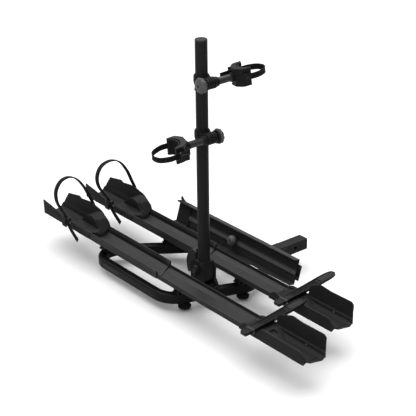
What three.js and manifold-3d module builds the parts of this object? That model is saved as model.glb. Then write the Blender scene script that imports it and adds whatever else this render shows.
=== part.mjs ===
// Hitch mounted bike rack with two trays, a folding centre mast, two frame arms and a stowed ramp.
// Millimetres, +Z up, +Y towards the vehicle, +X along the trays. The origin is the centre of the
// hitch pin hole in the shank. Inside this file y is measured from the mast and z from the shank's
// middle line, and one group moves the whole rack back to the pin hole.

import * as THREE from 'three';
import { mergeVertices } from 'three/addons/utils/BufferGeometryUtils.js';
import Module from 'manifold-3d';

const wasm = await Module();
wasm.setup();

// ---------------------------------------------------------------- driving dimensions
const GAP = 0.3;                 // air left between pieces that touch
const MAST_TO_PIN = 503;         // mast axis to hitch pin hole
const SIDES = 20;                // sides of an ordinary round piece
const ROUND = 26;                // sides of the mast and what goes round it

const SHANK = 50.8;              // 2 inch square receiver shank
const SHANK_WALL = 5;
const SHANK_BACK = 404;
const SHANK_FRONT = 578;
const HITCH_HOLE_R = 8;

const TILT_Y = 362;              // tilt pin axis, level with the shank's middle
const TILT_PIN_R = 8;
const CHEEK = 6;                 // clevis cheek thickness
const CHEEK_X = 27.4;            // inner face of a cheek
const LUG_HALF = 26.6;

const FRAME_W = 38;              // bent frame tube, width and height
const FRAME_TOP = -20;
const FRAME_BOTTOM = -68;
const FRAME_WALL = 3;
const BEND_STEP = 0.34;          // radians of bend for one facet
const FOOT_DROP = 25;            // feet below the frame
const FOOT_R = 28;

const TRAY_Y = 127;              // each tray's middle, either side of the mast
const RAIL_HALF = 50;
const RAIL_BOTTOM = 27;
const RAIL_TOP = 52;
const RAIL_LEFT = -700;
const RAIL_RIGHT = 600;
const SLEEVE_LEFT = -900;
const SLEEVE_RIGHT = -95;
const FRONT_CUP = [-958, -576];  // front wheel cup, tip and inboard end
const REAR_CUP = [438, 828];     // rear wheel cup, inboard end and tip
const FAR_FRONT = -24;           // the far tray's cups stand further left than the near tray's
const FAR_REAR = -111;
const FAR_BAR = -90;              // and its rear strap likewise

const STRAP_X = -738;            // front wheel strap, middle of its width
const STRAP_W = 24;
const BAR_X = 521;               // rear wheel strap, middle of its width
const BAR_HALF = 19;
const BAR_PIVOT = [-66, 57];     // its hinge axis along X, as y and z about the tray

const MAST_R = 25.4;             // 2 inch round mast
const MAST_WALL = 3;
const MAST_FOOT = 97;
const MAST_TOP = 1058;
const FOLD_X = -6;               // mast fold axis
const FOLD_Z = 59;
const FOLD_PIN_R = 7;
const RUN = 0.2;                 // running clearance of a pin in its hole

const ARM_X = 50;                // arm rod axis beside the mast
const ROD_R = 15;
const HEAD_TURN = -10;           // degrees, arm head about the vertical
const ARMS = {
  upper: { z: 895, side: 1, rodEnd: 106, roll: 0, pitch: 6 },
  lower: { z: 662, side: -1, rodEnd: 112, roll: 10, pitch: -10 },
};

const RAMP_X = [-430, 285];      // metal ramp channel, left and right end
const RAMP_TIP = -522;           // plastic ramp end piece
const RAMP_Y = 263;
const RAMP_Z = 63;
const RAMP_HALF = 57;            // half the ramp's width, which stands upright
const RAMP_LEAN = 17;            // degrees, top away from the trays
const RAMP_KNOB_X = -112;

const PAINT = { color: 0x1b1c1d, roughness: 0.45, metalness: 0.3 };
const ANODISED = { color: 0x2a2b2c, roughness: 0.38, metalness: 0.7 };
const PLASTIC = { color: 0x1d1e1f, roughness: 0.6, metalness: 0 };
const RUBBER = { color: 0x121212, roughness: 0.85, metalness: 0 };
const PALE = { color: 0x5a5b5a, roughness: 0.45, metalness: 0 };
const STEEL = { color: 0x8d8f90, roughness: 0.35, metalness: 0.9 };

// ---------------------------------------------------------------- solids, cuts and joins
function toSolid(geometry) {
  const bare = geometry.clone();
  bare.deleteAttribute('normal');
  bare.deleteAttribute('uv');
  const merged = mergeVertices(bare, 1e-4);
  return new wasm.Manifold(new wasm.Mesh({
    numProp: 3,
    vertProperties: new Float32Array(merged.attributes.position.array),
    triVerts: new Uint32Array(merged.index.array),
  }));
}

function toGeometry(solid) {
  const mesh = solid.getMesh();
  const geometry = new THREE.BufferGeometry();
  geometry.setAttribute('position', new THREE.BufferAttribute(new Float32Array(mesh.vertProperties), 3));
  geometry.setIndex(new THREE.BufferAttribute(new Uint32Array(mesh.triVerts), 1));
  geometry.computeVertexNormals();
  return geometry;
}

function join(first, ...others) {
  return toGeometry(others.reduce((sum, next) => sum.add(toSolid(next)), toSolid(first)));
}

function cut(first, ...others) {
  return toGeometry(others.reduce((sum, next) => sum.subtract(toSolid(next)), toSolid(first)));
}

function common(first, ...others) {
  return toGeometry(others.reduce((sum, next) => sum.intersect(toSolid(next)), toSolid(first)));
}

function block(x, y, z) {
  const box = new THREE.BoxGeometry(x[1] - x[0], y[1] - y[0], z[1] - z[0]);
  return box.translate((x[0] + x[1]) / 2, (y[0] + y[1]) / 2, (z[0] + z[1]) / 2);
}

function outline(points) {
  return new THREE.Shape(points.map(([u, v]) => new THREE.Vector2(u, v)));
}

function extrude(shape, depth, bevel = 0, curveSegments = 6) {
  const geometry = new THREE.ExtrudeGeometry(shape, {
    depth: depth - 2 * bevel,
    steps: 1,
    curveSegments,
    bevelEnabled: bevel > 0,
    bevelThickness: bevel,
    bevelSize: bevel,
    bevelOffset: -bevel,
    bevelSegments: 1,
  });
  return geometry.translate(0, 0, bevel);
}

// A (y, z) outline run from one x to another.
function alongX(shape, x, bevel = 0) {
  const turn = new THREE.Matrix4().makeBasis(
    new THREE.Vector3(0, 1, 0), new THREE.Vector3(0, 0, 1), new THREE.Vector3(1, 0, 0));
  return extrude(shape, x[1] - x[0], bevel).applyMatrix4(turn).translate(x[0], 0, 0);
}

// An (x, z) outline run from one y to another.
function alongY(shape, y, bevel = 0) {
  const turn = new THREE.Matrix4().makeBasis(
    new THREE.Vector3(1, 0, 0), new THREE.Vector3(0, 0, 1), new THREE.Vector3(0, -1, 0));
  return extrude(shape, y[1] - y[0], bevel).applyMatrix4(turn).translate(0, y[1], 0);
}

// An (x, y) outline run from one z to another.
function alongZ(shape, z, bevel = 0) {
  return extrude(shape, z[1] - z[0], bevel).translate(0, 0, z[0]);
}

// A round piece about Y from a profile of [radius, y] points, closed on the axis.
function turnedY(profile, sides = SIDES) {
  const rising = profile[0][1] < profile[profile.length - 1][1] ? profile : [...profile].reverse();
  const points = rising.map(([radius, along]) => new THREE.Vector2(radius, along));
  const start = new THREE.Vector2(0, points[0].y);
  const end = new THREE.Vector2(0, points[points.length - 1].y);
  return new THREE.LatheGeometry([start, ...points, end], sides);
}

function pinY(radius, y, sides = SIDES) {
  return turnedY([[radius, y[0]], [radius, y[1]]], sides);
}

function pinX(radius, x, sides = SIDES) {
  return pinY(radius, x, sides).rotateZ(-Math.PI / 2);
}

function pinZ(radius, z, sides = SIDES) {
  return pinY(radius, z, sides).rotateX(Math.PI / 2);
}

// A flat strap seen edge on: a smooth line through the points, given a thickness.
function ribbon(points, thickness, steps = 28) {
  const curve = new THREE.SplineCurve(points.map(([u, v]) => new THREE.Vector2(u, v)));
  const sides = [[], []];
  for (let i = 0; i <= steps; i += 1) {
    const at = curve.getPoint(i / steps);
    const along = curve.getTangent(i / steps);
    const across = new THREE.Vector2(-along.y, along.x).multiplyScalar(thickness / 2);
    sides[0].push(at.clone().add(across));
    sides[1].unshift(at.clone().sub(across));
  }
  return new THREE.Shape([...sides[0], ...sides[1]]);
}

// A lobed disc outline for hand knobs.
function lobedDisc(radius, depth, lobes) {
  const points = [];
  const steps = lobes * 4;
  for (let i = 0; i < steps; i += 1) {
    const angle = (2 * Math.PI * i) / steps;
    const reach = radius - depth * 0.5 * (1 - Math.cos(lobes * angle));
    points.push([reach * Math.cos(angle), reach * Math.sin(angle)]);
  }
  return outline(points);
}

// ---------------------------------------------------------------- the scene graph
const rack = new THREE.Group();
const body = new THREE.Group();
body.position.set(0, -MAST_TO_PIN, 0);
rack.add(body);

function add(name, geometry, finish, parent = body) {
  const mesh = new THREE.Mesh(geometry, new THREE.MeshStandardMaterial(finish));
  mesh.name = name;
  parent.add(mesh);
  return mesh;
}

function groupAt(x, y, z, parent = body) {
  const group = new THREE.Group();
  group.position.set(x, y, z);
  parent.add(group);
  return group;
}

// ---------------------------------------------------------------- shank, clevis and tilt pin
function square(half) {
  return outline([[-half, -half], [half, -half], [half, half], [-half, half]]);
}

function makeHitch() {
  const half = SHANK / 2;
  const turn = new THREE.Matrix4().makeRotationX(-Math.PI / 2);
  const bar = extrude(square(half), SHANK_FRONT - SHANK_BACK, 4).applyMatrix4(turn);
  const inside = half - SHANK_WALL;
  const bore = block([-inside, inside], [SHANK_BACK - 1, SHANK_FRONT + 1], [-inside, inside]);
  const pinHole = pinX(HITCH_HOLE_R, [-SHANK, SHANK]).translate(0, MAST_TO_PIN, 0);
  add('hitch_shank', cut(bar.translate(0, SHANK_BACK, 0), bore, pinHole), PAINT);

  const cheekOutside = CHEEK_X + CHEEK;
  const nose = 14;
  const cheekShape = outline([
    [TILT_Y, -nose], [TILT_Y + 26, -12.5], [TILT_Y + 44, -32], [TILT_Y + 84, -32],
    [TILT_Y + 84, 22], [TILT_Y + 44, 22], [TILT_Y + 26, 16], [TILT_Y, nose],
  ]);
  const cheek = (side) => {
    const x = side > 0 ? [CHEEK_X, cheekOutside] : [-cheekOutside, -CHEEK_X];
    return join(alongX(cheekShape, x), pinX(nose, x).translate(0, TILT_Y, 0));
  };
  const deck = (z) => block([-cheekOutside, cheekOutside], [TILT_Y + 44, TILT_Y + 84], z);
  const ear = (x) => block(x, [TILT_Y + 62, TILT_Y + 76], [-50, -30]);
  const clevis = join(cheek(1), cheek(-1), deck([-32, -25.8]), ear([22, 27]), ear([-27, -22]));
  const tiltHole = pinX(TILT_PIN_R + RUN, [-60, 60]).translate(0, TILT_Y, 0);
  const leverHole = pinX(3 + RUN, [-60, 60], 16).translate(0, TILT_Y + 69, -43);
  add('hitch_clevis', cut(clevis, tiltHole, leverHole), PAINT);

  const tiltPin = join(
    pinX(TILT_PIN_R, [-cheekOutside - 6, cheekOutside + 6]),
    pinX(13, [-cheekOutside - 9, -cheekOutside - GAP]),
    pinX(13, [cheekOutside + GAP, cheekOutside + 9]));
  add('tilt_pin', tiltPin.translate(0, TILT_Y, 0), STEEL);

  const leverPlate = alongX(outline([
    [TILT_Y + 56, -98], [TILT_Y + 62, -100], [TILT_Y + 75, -56], [TILT_Y + 74, -42], [TILT_Y + 69, -38],
    [TILT_Y + 64, -42], [TILT_Y + 66, -56],
  ]), [-21.6, 21.6], 1);
  const leverPin = pinX(3, [-26.6, 26.6], 16).translate(0, TILT_Y + 69, -43);
  add('tilt_release_lever', join(leverPlate, leverPin), PLASTIC);
}

// ---------------------------------------------------------------- bent ring frame and feet
// Corners of the tube's centre line, each with its bend radius.
const FRAME_CORNERS = [
  [-30, -178, 110], [100, 168, 60], [4, 372, 34], [-326, 245, 90], [-634, -178, 82],
];

function frameLoop(offset) {
  const corners = FRAME_CORNERS.map(([x, y, r]) => ({ at: new THREE.Vector2(x, y), r: r + offset }));
  const count = corners.length;
  const heading = (i) => corners[(i + 1) % count].at.clone().sub(corners[i % count].at).normalize();
  const points = [];
  for (let i = 0; i < count; i += 1) {
    const before = heading(i + count - 1);
    const after = heading(i);
    const turn = Math.atan2(before.cross(after), before.dot(after));
    const outward = before.clone().rotateAround(new THREE.Vector2(), -Math.PI / 2);
    const bendRadius = corners[i].r - offset;
    const setback = bendRadius * Math.tan(turn / 2);
    const start = corners[i].at.clone().sub(before.clone().multiplyScalar(setback));
    const centre = start.clone().sub(outward.clone().multiplyScalar(bendRadius));
    const steps = Math.max(4, Math.round(turn / BEND_STEP));
    for (let k = 0; k <= steps; k += 1) {
      const spoke = outward.clone().rotateAround(new THREE.Vector2(), (turn * k) / steps);
      points.push(centre.clone().add(spoke.multiplyScalar(corners[i].r)));
    }
  }
  return points;
}

function ringSolid(halfWidth, z, bevel) {
  const shape = new THREE.Shape(frameLoop(halfWidth));
  shape.holes.push(new THREE.Path(frameLoop(-halfWidth)));
  return alongZ(shape, z, bevel);
}

function makeFrame() {
  const half = FRAME_W / 2;
  const tube = ringSolid(half, [FRAME_BOTTOM, FRAME_TOP], 5);
  const hollow = ringSolid(half - FRAME_WALL, [FRAME_BOTTOM + FRAME_WALL, FRAME_TOP - FRAME_WALL], 3);
  const drain = pinZ(5, [FRAME_BOTTOM - 1, FRAME_BOTTOM + 8], 12).translate(-300, -178, 0);
  const lugShape = outline([
    [TILT_Y - 16, FRAME_TOP - 4], [TILT_Y + 11, FRAME_TOP - 4], [TILT_Y + 14, 0], [TILT_Y, 14],
    [TILT_Y - 14, 0],
  ]);
  const lug = join(alongX(lugShape, [-LUG_HALF, LUG_HALF]),
    pinX(14, [-LUG_HALF, LUG_HALF]).translate(0, TILT_Y, 0));
  const tiltHole = pinX(TILT_PIN_R + RUN, [-60, 60]).translate(0, TILT_Y, 0);
  add('ring_frame', cut(join(cut(tube, hollow, drain), lug), tiltHole), PAINT);

  const footPlaces = { near: [-3, -106], far: [88, 140] };
  for (const [name, [x, y]] of Object.entries(footPlaces)) {
    const foot = turnedY([
      [FOOT_R - 6, -FOOT_DROP], [FOOT_R - 1, -FOOT_DROP + 4], [FOOT_R, -12], [FOOT_R - 2, -9],
      [FOOT_R - 6, -7], [FOOT_R - 8, -GAP],
    ]);
    add(`foot_${name}`, foot.rotateX(Math.PI / 2).translate(x, y, FRAME_BOTTOM), RUBBER);
  }
}

// ---------------------------------------------------------------- brackets under the trays
const CROSSINGS = {
  near: { left: [-548, -TRAY_Y], right: [-11, -TRAY_Y] },
  far: { left: [-414, TRAY_Y], right: [84, TRAY_Y] },
};

function makeTrayBracket(side, end) {
  const [x, y] = CROSSINGS[side][end];
  const top = RAIL_BOTTOM - GAP;
  const bottom = FRAME_TOP + GAP;
  const shape = outline([
    [-26, bottom], [26, bottom], [26, bottom + 5], [17, bottom + 8], [17, top - 8], [24, top - 5],
    [24, top], [-24, top], [-24, top - 5], [-17, top - 8], [-17, bottom + 8], [-26, bottom + 5],
  ]);
  const core = alongY(shape, [-17, 17], 1);
  const lightening = block([-11, 11], [-60, 60], [bottom + 9, top - 9]);
  add(`tray_bracket_${side}_${end}`, cut(core, lightening).translate(x, y, 0), PAINT);
}

// ---------------------------------------------------------------- tray rail, sleeve and wheel cups
// Cross-sections are (y, z) outlines about each tray's middle.
function mirror(points) {
  return points.map(([y, z]) => [-y, z]).reverse();
}

function mirrored(points) {
  return outline([...points, ...mirror(points)]);
}

// The line of the rail's inside from its floor up to its rim, moved up by a clearance.
function railInside(lift) {
  return [[25.6, 30.6 + lift], [43.4 - lift * 0.3, 40 + lift], [45.4 - lift, RAIL_TOP + lift]];
}

function makeRail(side, y) {
  const section = mirrored([
    [44, RAIL_BOTTOM], [RAIL_HALF, RAIL_BOTTOM + 4], [RAIL_HALF, 33], [RAIL_HALF - 1.5, 34],
    [RAIL_HALF - 1.5, 36], [RAIL_HALF, 37], [RAIL_HALF, 42], [RAIL_HALF - 1.5, 43],
    [RAIL_HALF - 1.5, 45], [RAIL_HALF, 46], [RAIL_HALF, RAIL_TOP], [46.2, RAIL_TOP], [44.2, 40],
    [26, 30.2],
  ]);
  const right = side === 'far' ? RAIL_RIGHT + FAR_REAR : RAIL_RIGHT;
  add(`tray_rail_${side}`, alongX(section, [RAIL_LEFT, right]).translate(0, y, 0), ANODISED);
}

const SKIRT = 32;                // the sleeve's sides end this high
const UNDERSIDE = [[50.6, SKIRT], [50.6, RAIL_TOP + 0.7], ...railInside(0.6).reverse()];

function makeSleeve(side, y) {
  const skirt = [[54.6, SKIRT], [55, 36], [54, 37.5], [54, 40], [55, 41.5], [55, 48], [54, 49.5],
    [54, 52], [55, 53.5], [55, 65], [53.5, 66.5], [51, 66.5], [49.5, 65]];
  const lining = [[43, 55], [41, 42.8], [24.8, 33.8]];
  const underside = [...UNDERSIDE].reverse();
  const section = outline([
    ...skirt, ...lining, ...mirror(lining), ...mirror(skirt), ...mirror(underside), ...underside,
  ]);
  const tube = alongX(section, [SLEEVE_LEFT, SLEEVE_RIGHT]);
  add(`tray_sleeve_${side}`, cut(tube, sleeveEndCut()).translate(0, y, 0), ANODISED);
}

// The sleeve's inboard end is a smooth S seen from above, longer on the near side.
function sleeveEndCut() {
  const end = SLEEVE_RIGHT;
  const shape = new THREE.Shape();
  shape.moveTo(end - 4, -70);
  shape.lineTo(end - 4, -46);
  shape.bezierCurveTo(end - 4, -14, end - 46, 0, end - 34, 44);
  shape.lineTo(end - 34, 70);
  shape.lineTo(end + 10, 70);
  shape.lineTo(end + 10, -70);
  return alongZ(shape, [0, 90]);
}

// A wheel cup is a trough with a low near wall and a tall far wall, closed inboard by a chock. Its
// underside fits over the sleeve or rail that it sits on.
function troughSection(base) {
  const { half, floor, skirt, nearTop, farTop, flare, under } = base;
  return outline([
    [-half - 4, skirt], [-half - 4 - flare, nearTop], [-half - 1 - flare, nearTop],
    ...mirror(floor), ...floor,
    [half + 1 + flare, farTop], [half + 4 + flare, farTop], [half + 4, skirt],
    [half + 0.7, skirt], ...under, ...mirror(under), [-half - 0.7, skirt],
  ]);
}

function makeFrontCup(side, y) {
  const [tip, end] = FRONT_CUP;
  const base = {
    half: 55, skirt: 34, nearTop: 104, farTop: 126, flare: 6,
    floor: [[24, 38], [39.5, 46.5], [41.5, 58], [49, 71]],
    under: [[55.7, 67.4], [49, 67.4], [42.4, 55.5], [40.4, 43.4], [24.6, 34.5]],
  };
  const trough = alongX(troughSection(base), [tip, end]);
  const far = alongY(outline([
    [tip - 5, 62], [tip + 8, 62], [tip + 34, 112], [tip + 120, 126], [tip + 140, 119], [tip + 196, 126],
    [tip + 240, 124], [tip + 304, 114], [end - 14, 84], [end + 5, 60], [end + 5, 140], [tip - 5, 140],
  ]), [0, 80]);
  const near = alongY(outline([
    [tip - 5, 106], [tip + 2, 104], [tip + 60, 84], [tip + 150, 68], [tip + 200, 62], [end - 60, 66],
    [end + 5, 58], [end + 5, 140], [tip - 5, 140],
  ]), [-80, 0]);
  const mouth = alongZ(outline([
    [tip - 5, -80], [tip + 2, -80], [tip + 6, -50], [tip + 26, -12], [tip + 22, 30], [tip + 2, 52],
    [tip, 80], [tip - 5, 80],
  ]), [0, 140]);
  const endShape = new THREE.Shape();
  endShape.moveTo(end - 16, -80);
  endShape.lineTo(end - 16, -50);
  endShape.bezierCurveTo(end - 18, -20, end + 12, -24, end - 2, 24);
  endShape.bezierCurveTo(end - 8, 44, end - 10, 50, end - 10, 80);
  endShape.lineTo(end + 5, 80);
  endShape.lineTo(end + 5, -80);
  const chockLong = alongY(outline([
    [end - 182, 36], [end - 96, 108], [end - 62, 113], [end - 48, 108], [end - 6, 72], [end - 6, 46],
    [end - 60, 36],
  ]), [-57, 57]);
  const chockAcross = alongX(outline([
    [-46, 67.8], [-57.5, 67.8], [-55, 70], [-30, 104], [-18, 114], [58, 114], [60, 68], [49, 67.8],
    [42.6, 55.8], [40.4, 43.8], [24.6, 35], [-24.6, 35], [-40.4, 43.8], [-42.6, 55.8],
  ]), [end - 190, end]);
  const groove = block([end - 44, end - 18], [-12, 12], [90, 130]);
  const shell = cut(trough, far, near);
  const filled = join(shell, common(chockLong, chockAcross));
  const cup = cut(filled, mouth, alongZ(endShape, [0, 140]), groove);
  add(`front_cup_${side}`, cup.translate(side === 'far' ? FAR_FRONT : 0, y, 0), PLASTIC);
}

function makeRearCup(side, y) {
  const [start, tip] = REAR_CUP;
  const barX = BAR_X + (side === 'far' ? FAR_BAR - FAR_REAR : 0);
  const base = {
    half: 50, skirt: 28, nearTop: 84, farTop: 126, flare: 3,
    floor: [[24.5, 35.2], [40.3, 44.2], [42.4, 57], [47, 58]],
    under: [[50.7, 53.4], [44.8, 53.4], [42.8, 41.2], [25.2, 31.8]],
  };
  const trough = alongX(troughSection(base), [start, tip]);
  const far = alongY(outline([
    [start - 5, 50], [start + 2, 56], [barX + 25, 62], [start + 172, 118], [start + 190, 126],
    [start + 250, 120], [tip - 26, 122], [tip - 6, 106], [tip + 5, 60], [tip + 5, 140], [start - 5, 140],
  ]), [0, 80]);
  const near = alongY(outline([
    [start - 5, 50], [start + 2, 56], [barX + 27, 56.4], [barX + 54, 84], [tip - 46, 84],
    [tip - 34, 76], [tip - 26, 50],
    [tip + 5, 36], [tip + 5, 140], [start - 5, 140],
  ]), [-80, 0]);
  const mouth = alongZ(outline([
    [tip + 5, -80], [tip - 30, -80], [tip - 22, -44], [tip - 2, -10], [tip - 4, 40], [tip - 16, 60],
    [tip - 18, 80], [tip + 5, 80],
  ]), [0, 140]);
  const slot = block([tip - 24, tip - 19], [-38, 34], [0, 60]);
  const chockLong = alongY(outline([
    [start + 8, 40], [start + 50, 53], [start + 70, 57], [start + 112, 59], [start + 126, 58],
    [start + 196, 33.5], [start + 30, 33.5],
  ]), [-57, 57]);
  const chockAcross = alongX(outline([
    [-45, 53.6], [-52.5, 53.6], [-52, 56], [-40, 56], [-20, 58], [52.5, 60], [52, 53.6], [44.8, 53.6],
    [42.8, 41.6], [25.2, 32.2], [-25.2, 32.2], [-42.8, 41.6], [-44.8, 53.6],
  ]), [start, start + 210]);
  const groove = block([start + 128, start + 152], [-9, 17], [46, 120]);
  const cup = cut(join(cut(trough, far, near), common(chockLong, chockAcross)), mouth, slot, groove);
  add(`rear_cup_${side}`, cup.translate(side === 'far' ? FAR_REAR : 0, y, 0), PLASTIC);
}

// ---------------------------------------------------------------- wheel straps
function makeFrontStrap(side, y) {
  const buckle = join(
    alongX(outline([[-80, 58], [-64.6, 52], [-63.6, 84], [-70, 94], [-84, 88]]),
      [STRAP_X - 21, STRAP_X + 21], 1.5),
    pinX(6, [STRAP_X - 27, STRAP_X + 27], 16).translate(0, -74, 74));
  const lines = {
    near: [[-78, 96], [-102, 140], [-122, 190], [-122, 238], [-96, 276], [-54, 286], [-10, 264], [26, 216],
      [52, 162], [72, 118], [76, 84]],
    far: [[-78, 96], [-108, 140], [-134, 190], [-136, 238], [-110, 278], [-60, 291], [-10, 271], [28, 221],
      [53, 164], [72, 118], [76, 84]],
  };
  const loop = alongX(ribbon(lines[side], 3.4), [STRAP_X - STRAP_W / 2, STRAP_X + STRAP_W / 2]);
  const anchor = alongX(outline([[68.5, 60], [79, 60], [80, 83], [70, 83]]),
    [STRAP_X - 17, STRAP_X + 17], 1.2);
  const tail = alongY(ribbon([
    [STRAP_X + 4, 76], [STRAP_X + 20, 56], [STRAP_X + 48, 34], [STRAP_X + 86, 6],
  ], STRAP_W, 10), [-78, -74.6]);
  const lever = alongX(outline([[-86.5, 96], [-92, 90], [-92.5, 60], [-89, 52], [-86, 56]]),
    [STRAP_X - 15, STRAP_X + 15], 1);
  const x = side === 'far' ? FAR_FRONT : 0;
  add(`front_buckle_${side}`, join(buckle, tail).translate(x, y, 0), PLASTIC);
  add(`front_strap_${side}`, loop.translate(x, y, 0), RUBBER);
  add(`front_strap_anchor_${side}`, anchor.translate(x, y, 0), PLASTIC);
  add(`front_buckle_lever_${side}`, lever.translate(x, y, 0), PLASTIC);
}

// The rear wheel strap is stiff: it hinges on the tray's near edge and lies across the tray.
function makeRearStrap(side, y) {
  const [py, pz] = BAR_PIVOT;
  const hanger = alongX(outline([
    [-60.5, 45], [-57.6, 45], [-58.2, 57], [-59, 63.5], [-64, 63.5], [-72, 50], [-64, 41],
  ]), [BAR_X - 12, BAR_X + 12]);
  const pin = pinX(2.5, [BAR_X - 21, BAR_X + 21], 12).translate(0, py, pz);
  const x = side === 'far' ? FAR_BAR : 0;
  add(`rear_strap_hanger_${side}`, join(hanger, pin).translate(x, y, 0), PLASTIC);

  const slope = Math.tan((5.7 * Math.PI) / 180);
  const reach = 281;
  const top = (along) => pz + 14 + slope * (along - py);
  const strip = alongX(outline([
    [py - 40, top(py - 40) - 13], [py - 18, top(py - 18) - 15], [py - 5, pz - 8], [py + 4, pz - 7],
    [py + 9, top(py + 9) - 11], [py + reach - 8, top(py + reach) - 12],
    [py + reach, top(py + reach) - 8], [py + reach, top(py + reach)], [py - 40, top(py - 40)],
  ]), [BAR_X - BAR_HALF - 3, BAR_X + BAR_HALF + 3], 1);
  const narrow = (at) => block(at, [py + 16, py + 190], [0, 200]);
  const knuckle = block([BAR_X - 12.6, BAR_X + 12.6], [py - 19, py + 10], [pz - 30, pz + 8]);
  const trench = alongX(outline([
    [py + 22, top(py + 22) - 4], [py + reach - 12, top(py + reach - 12) - 4],
    [py + reach - 12, top(py + reach) + 20], [py + 22, top(py + 22) + 20],
  ]), [BAR_X - BAR_HALF + 3, BAR_X + BAR_HALF - 3]);
  const pinHole = pinX(2.5 + RUN, [BAR_X - 40, BAR_X + 40], 12).translate(0, py, pz);
  const bar = cut(strip, narrow([BAR_X - 60, BAR_X - BAR_HALF]), narrow([BAR_X + BAR_HALF, BAR_X + 60]),
    knuckle, trench, pinHole);
  add(`rear_strap_${side}`, bar.translate(x, y, 0), RUBBER);
}

// ---------------------------------------------------------------- mast hinge and mast
function makeMastHinge() {
  const base = block([-48, 62], [-34, 38], [FRAME_TOP + GAP, -11]);
  const nearPlate = join(pinY(45, [-34, -28], ROUND).translate(FOLD_X, 0, FOLD_Z),
    alongY(outline([[-48, -15], [36, -15], [38, 52], [-50, 52]]), [-34, -28]));
  const farPlate = join(pinY(40, [30, 38], ROUND).translate(FOLD_X, 0, FOLD_Z),
    alongY(outline([[-44, -15], [34, -15], [34, 59], [-46, 59]]), [30, 38]));
  const gusset = alongY(outline([[38, -15], [60, -15], [38, 20]]), [20, 34]);
  const pinHole = pinY(FOLD_PIN_R + RUN, [-60, 60]).translate(FOLD_X, 0, FOLD_Z);
  add('mast_bracket', cut(join(base, nearPlate, farPlate, gusset), pinHole), PAINT);

  const lift = MAST_FOOT;
  const shank = block([-29, 29], [-27.4, 27.4], [12, lift]);
  const socket = pinZ(MAST_R + GAP, [lift - 30, lift + 5], ROUND);
  const leverEar = alongY(outline([[-28, 58], [-44, 64], [-46, 76], [-40, 82], [-28, 84]]), [-3, 5]);
  const leverHole = pinY(3 + RUN, [-60, 60], 16).translate(-39, 0, 72);
  add('mast_hinge_block', cut(join(shank, leverEar), socket, pinHole, leverHole), PAINT);

  const wing = alongY(outline([
    [-10, 30], [0, 42], [-2, 54], [8, 64], [10, 78], [0, 86], [-12, 84], [-18, 74], [-22, 62], [-30, 54],
    [-28, 40], [-20, 38], [-18, 30],
  ]), [-52, -38], 2);
  const pin = join(pinY(FOLD_PIN_R, [-45, 42]).translate(FOLD_X, 0, FOLD_Z),
    pinY(14, [-42, -34 - GAP]).translate(FOLD_X, 0, FOLD_Z), wing,
    pinY(12, [38 + GAP, 46], 6).translate(FOLD_X, 0, FOLD_Z));
  add('mast_pin_knob', pin, PLASTIC);

  const handle = new THREE.Shape();
  handle.moveTo(-33, 76);
  handle.bezierCurveTo(-38, 92, -40, 104, -38, 122);
  handle.bezierCurveTo(-52, 140, -70, 130, -80, 116);
  handle.bezierCurveTo(-94, 98, -106, 82, -103, 54);
  handle.bezierCurveTo(-102, 34, -98, 20, -88, 12);
  handle.bezierCurveTo(-76, 14, -66, 40, -54, 56);
  handle.bezierCurveTo(-50, 64, -38, 62, -33, 76);
  const lever = cut(alongY(handle, [-15, 17], 2.5), block([-50, -20], [-3.6, 5.6], [40, 100]));
  const leverPin = pinY(3, [-15, 17], 16).translate(-39, 0, 72);
  add('mast_release_lever', join(lever, leverPin), PLASTIC);
}

function makeMast() {
  const foot = MAST_FOOT - 30 + GAP;
  const wall = MAST_R - MAST_WALL;
  const tube = cut(pinZ(MAST_R, [foot, MAST_TOP], ROUND), pinZ(wall, [foot - 1, MAST_TOP + 1], ROUND),
    pinX(4, [-60, -10], 16).translate(0, 0, MAST_TOP - 40));
  add('mast_tube', tube, ANODISED);
  const cap = turnedY([
    [wall - GAP, -22], [wall - GAP, GAP], [MAST_R, GAP], [MAST_R - 0.5, 5], [MAST_R - 4, 9],
  ], ROUND);
  add('mast_cap', cap.rotateX(Math.PI / 2).translate(0, 0, MAST_TOP), PLASTIC);
}

// ---------------------------------------------------------------- frame arms
const LINER = [MAST_R + 0.4, MAST_R + 2.8];
const SADDLE_R = MAST_R + 7.5;

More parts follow.
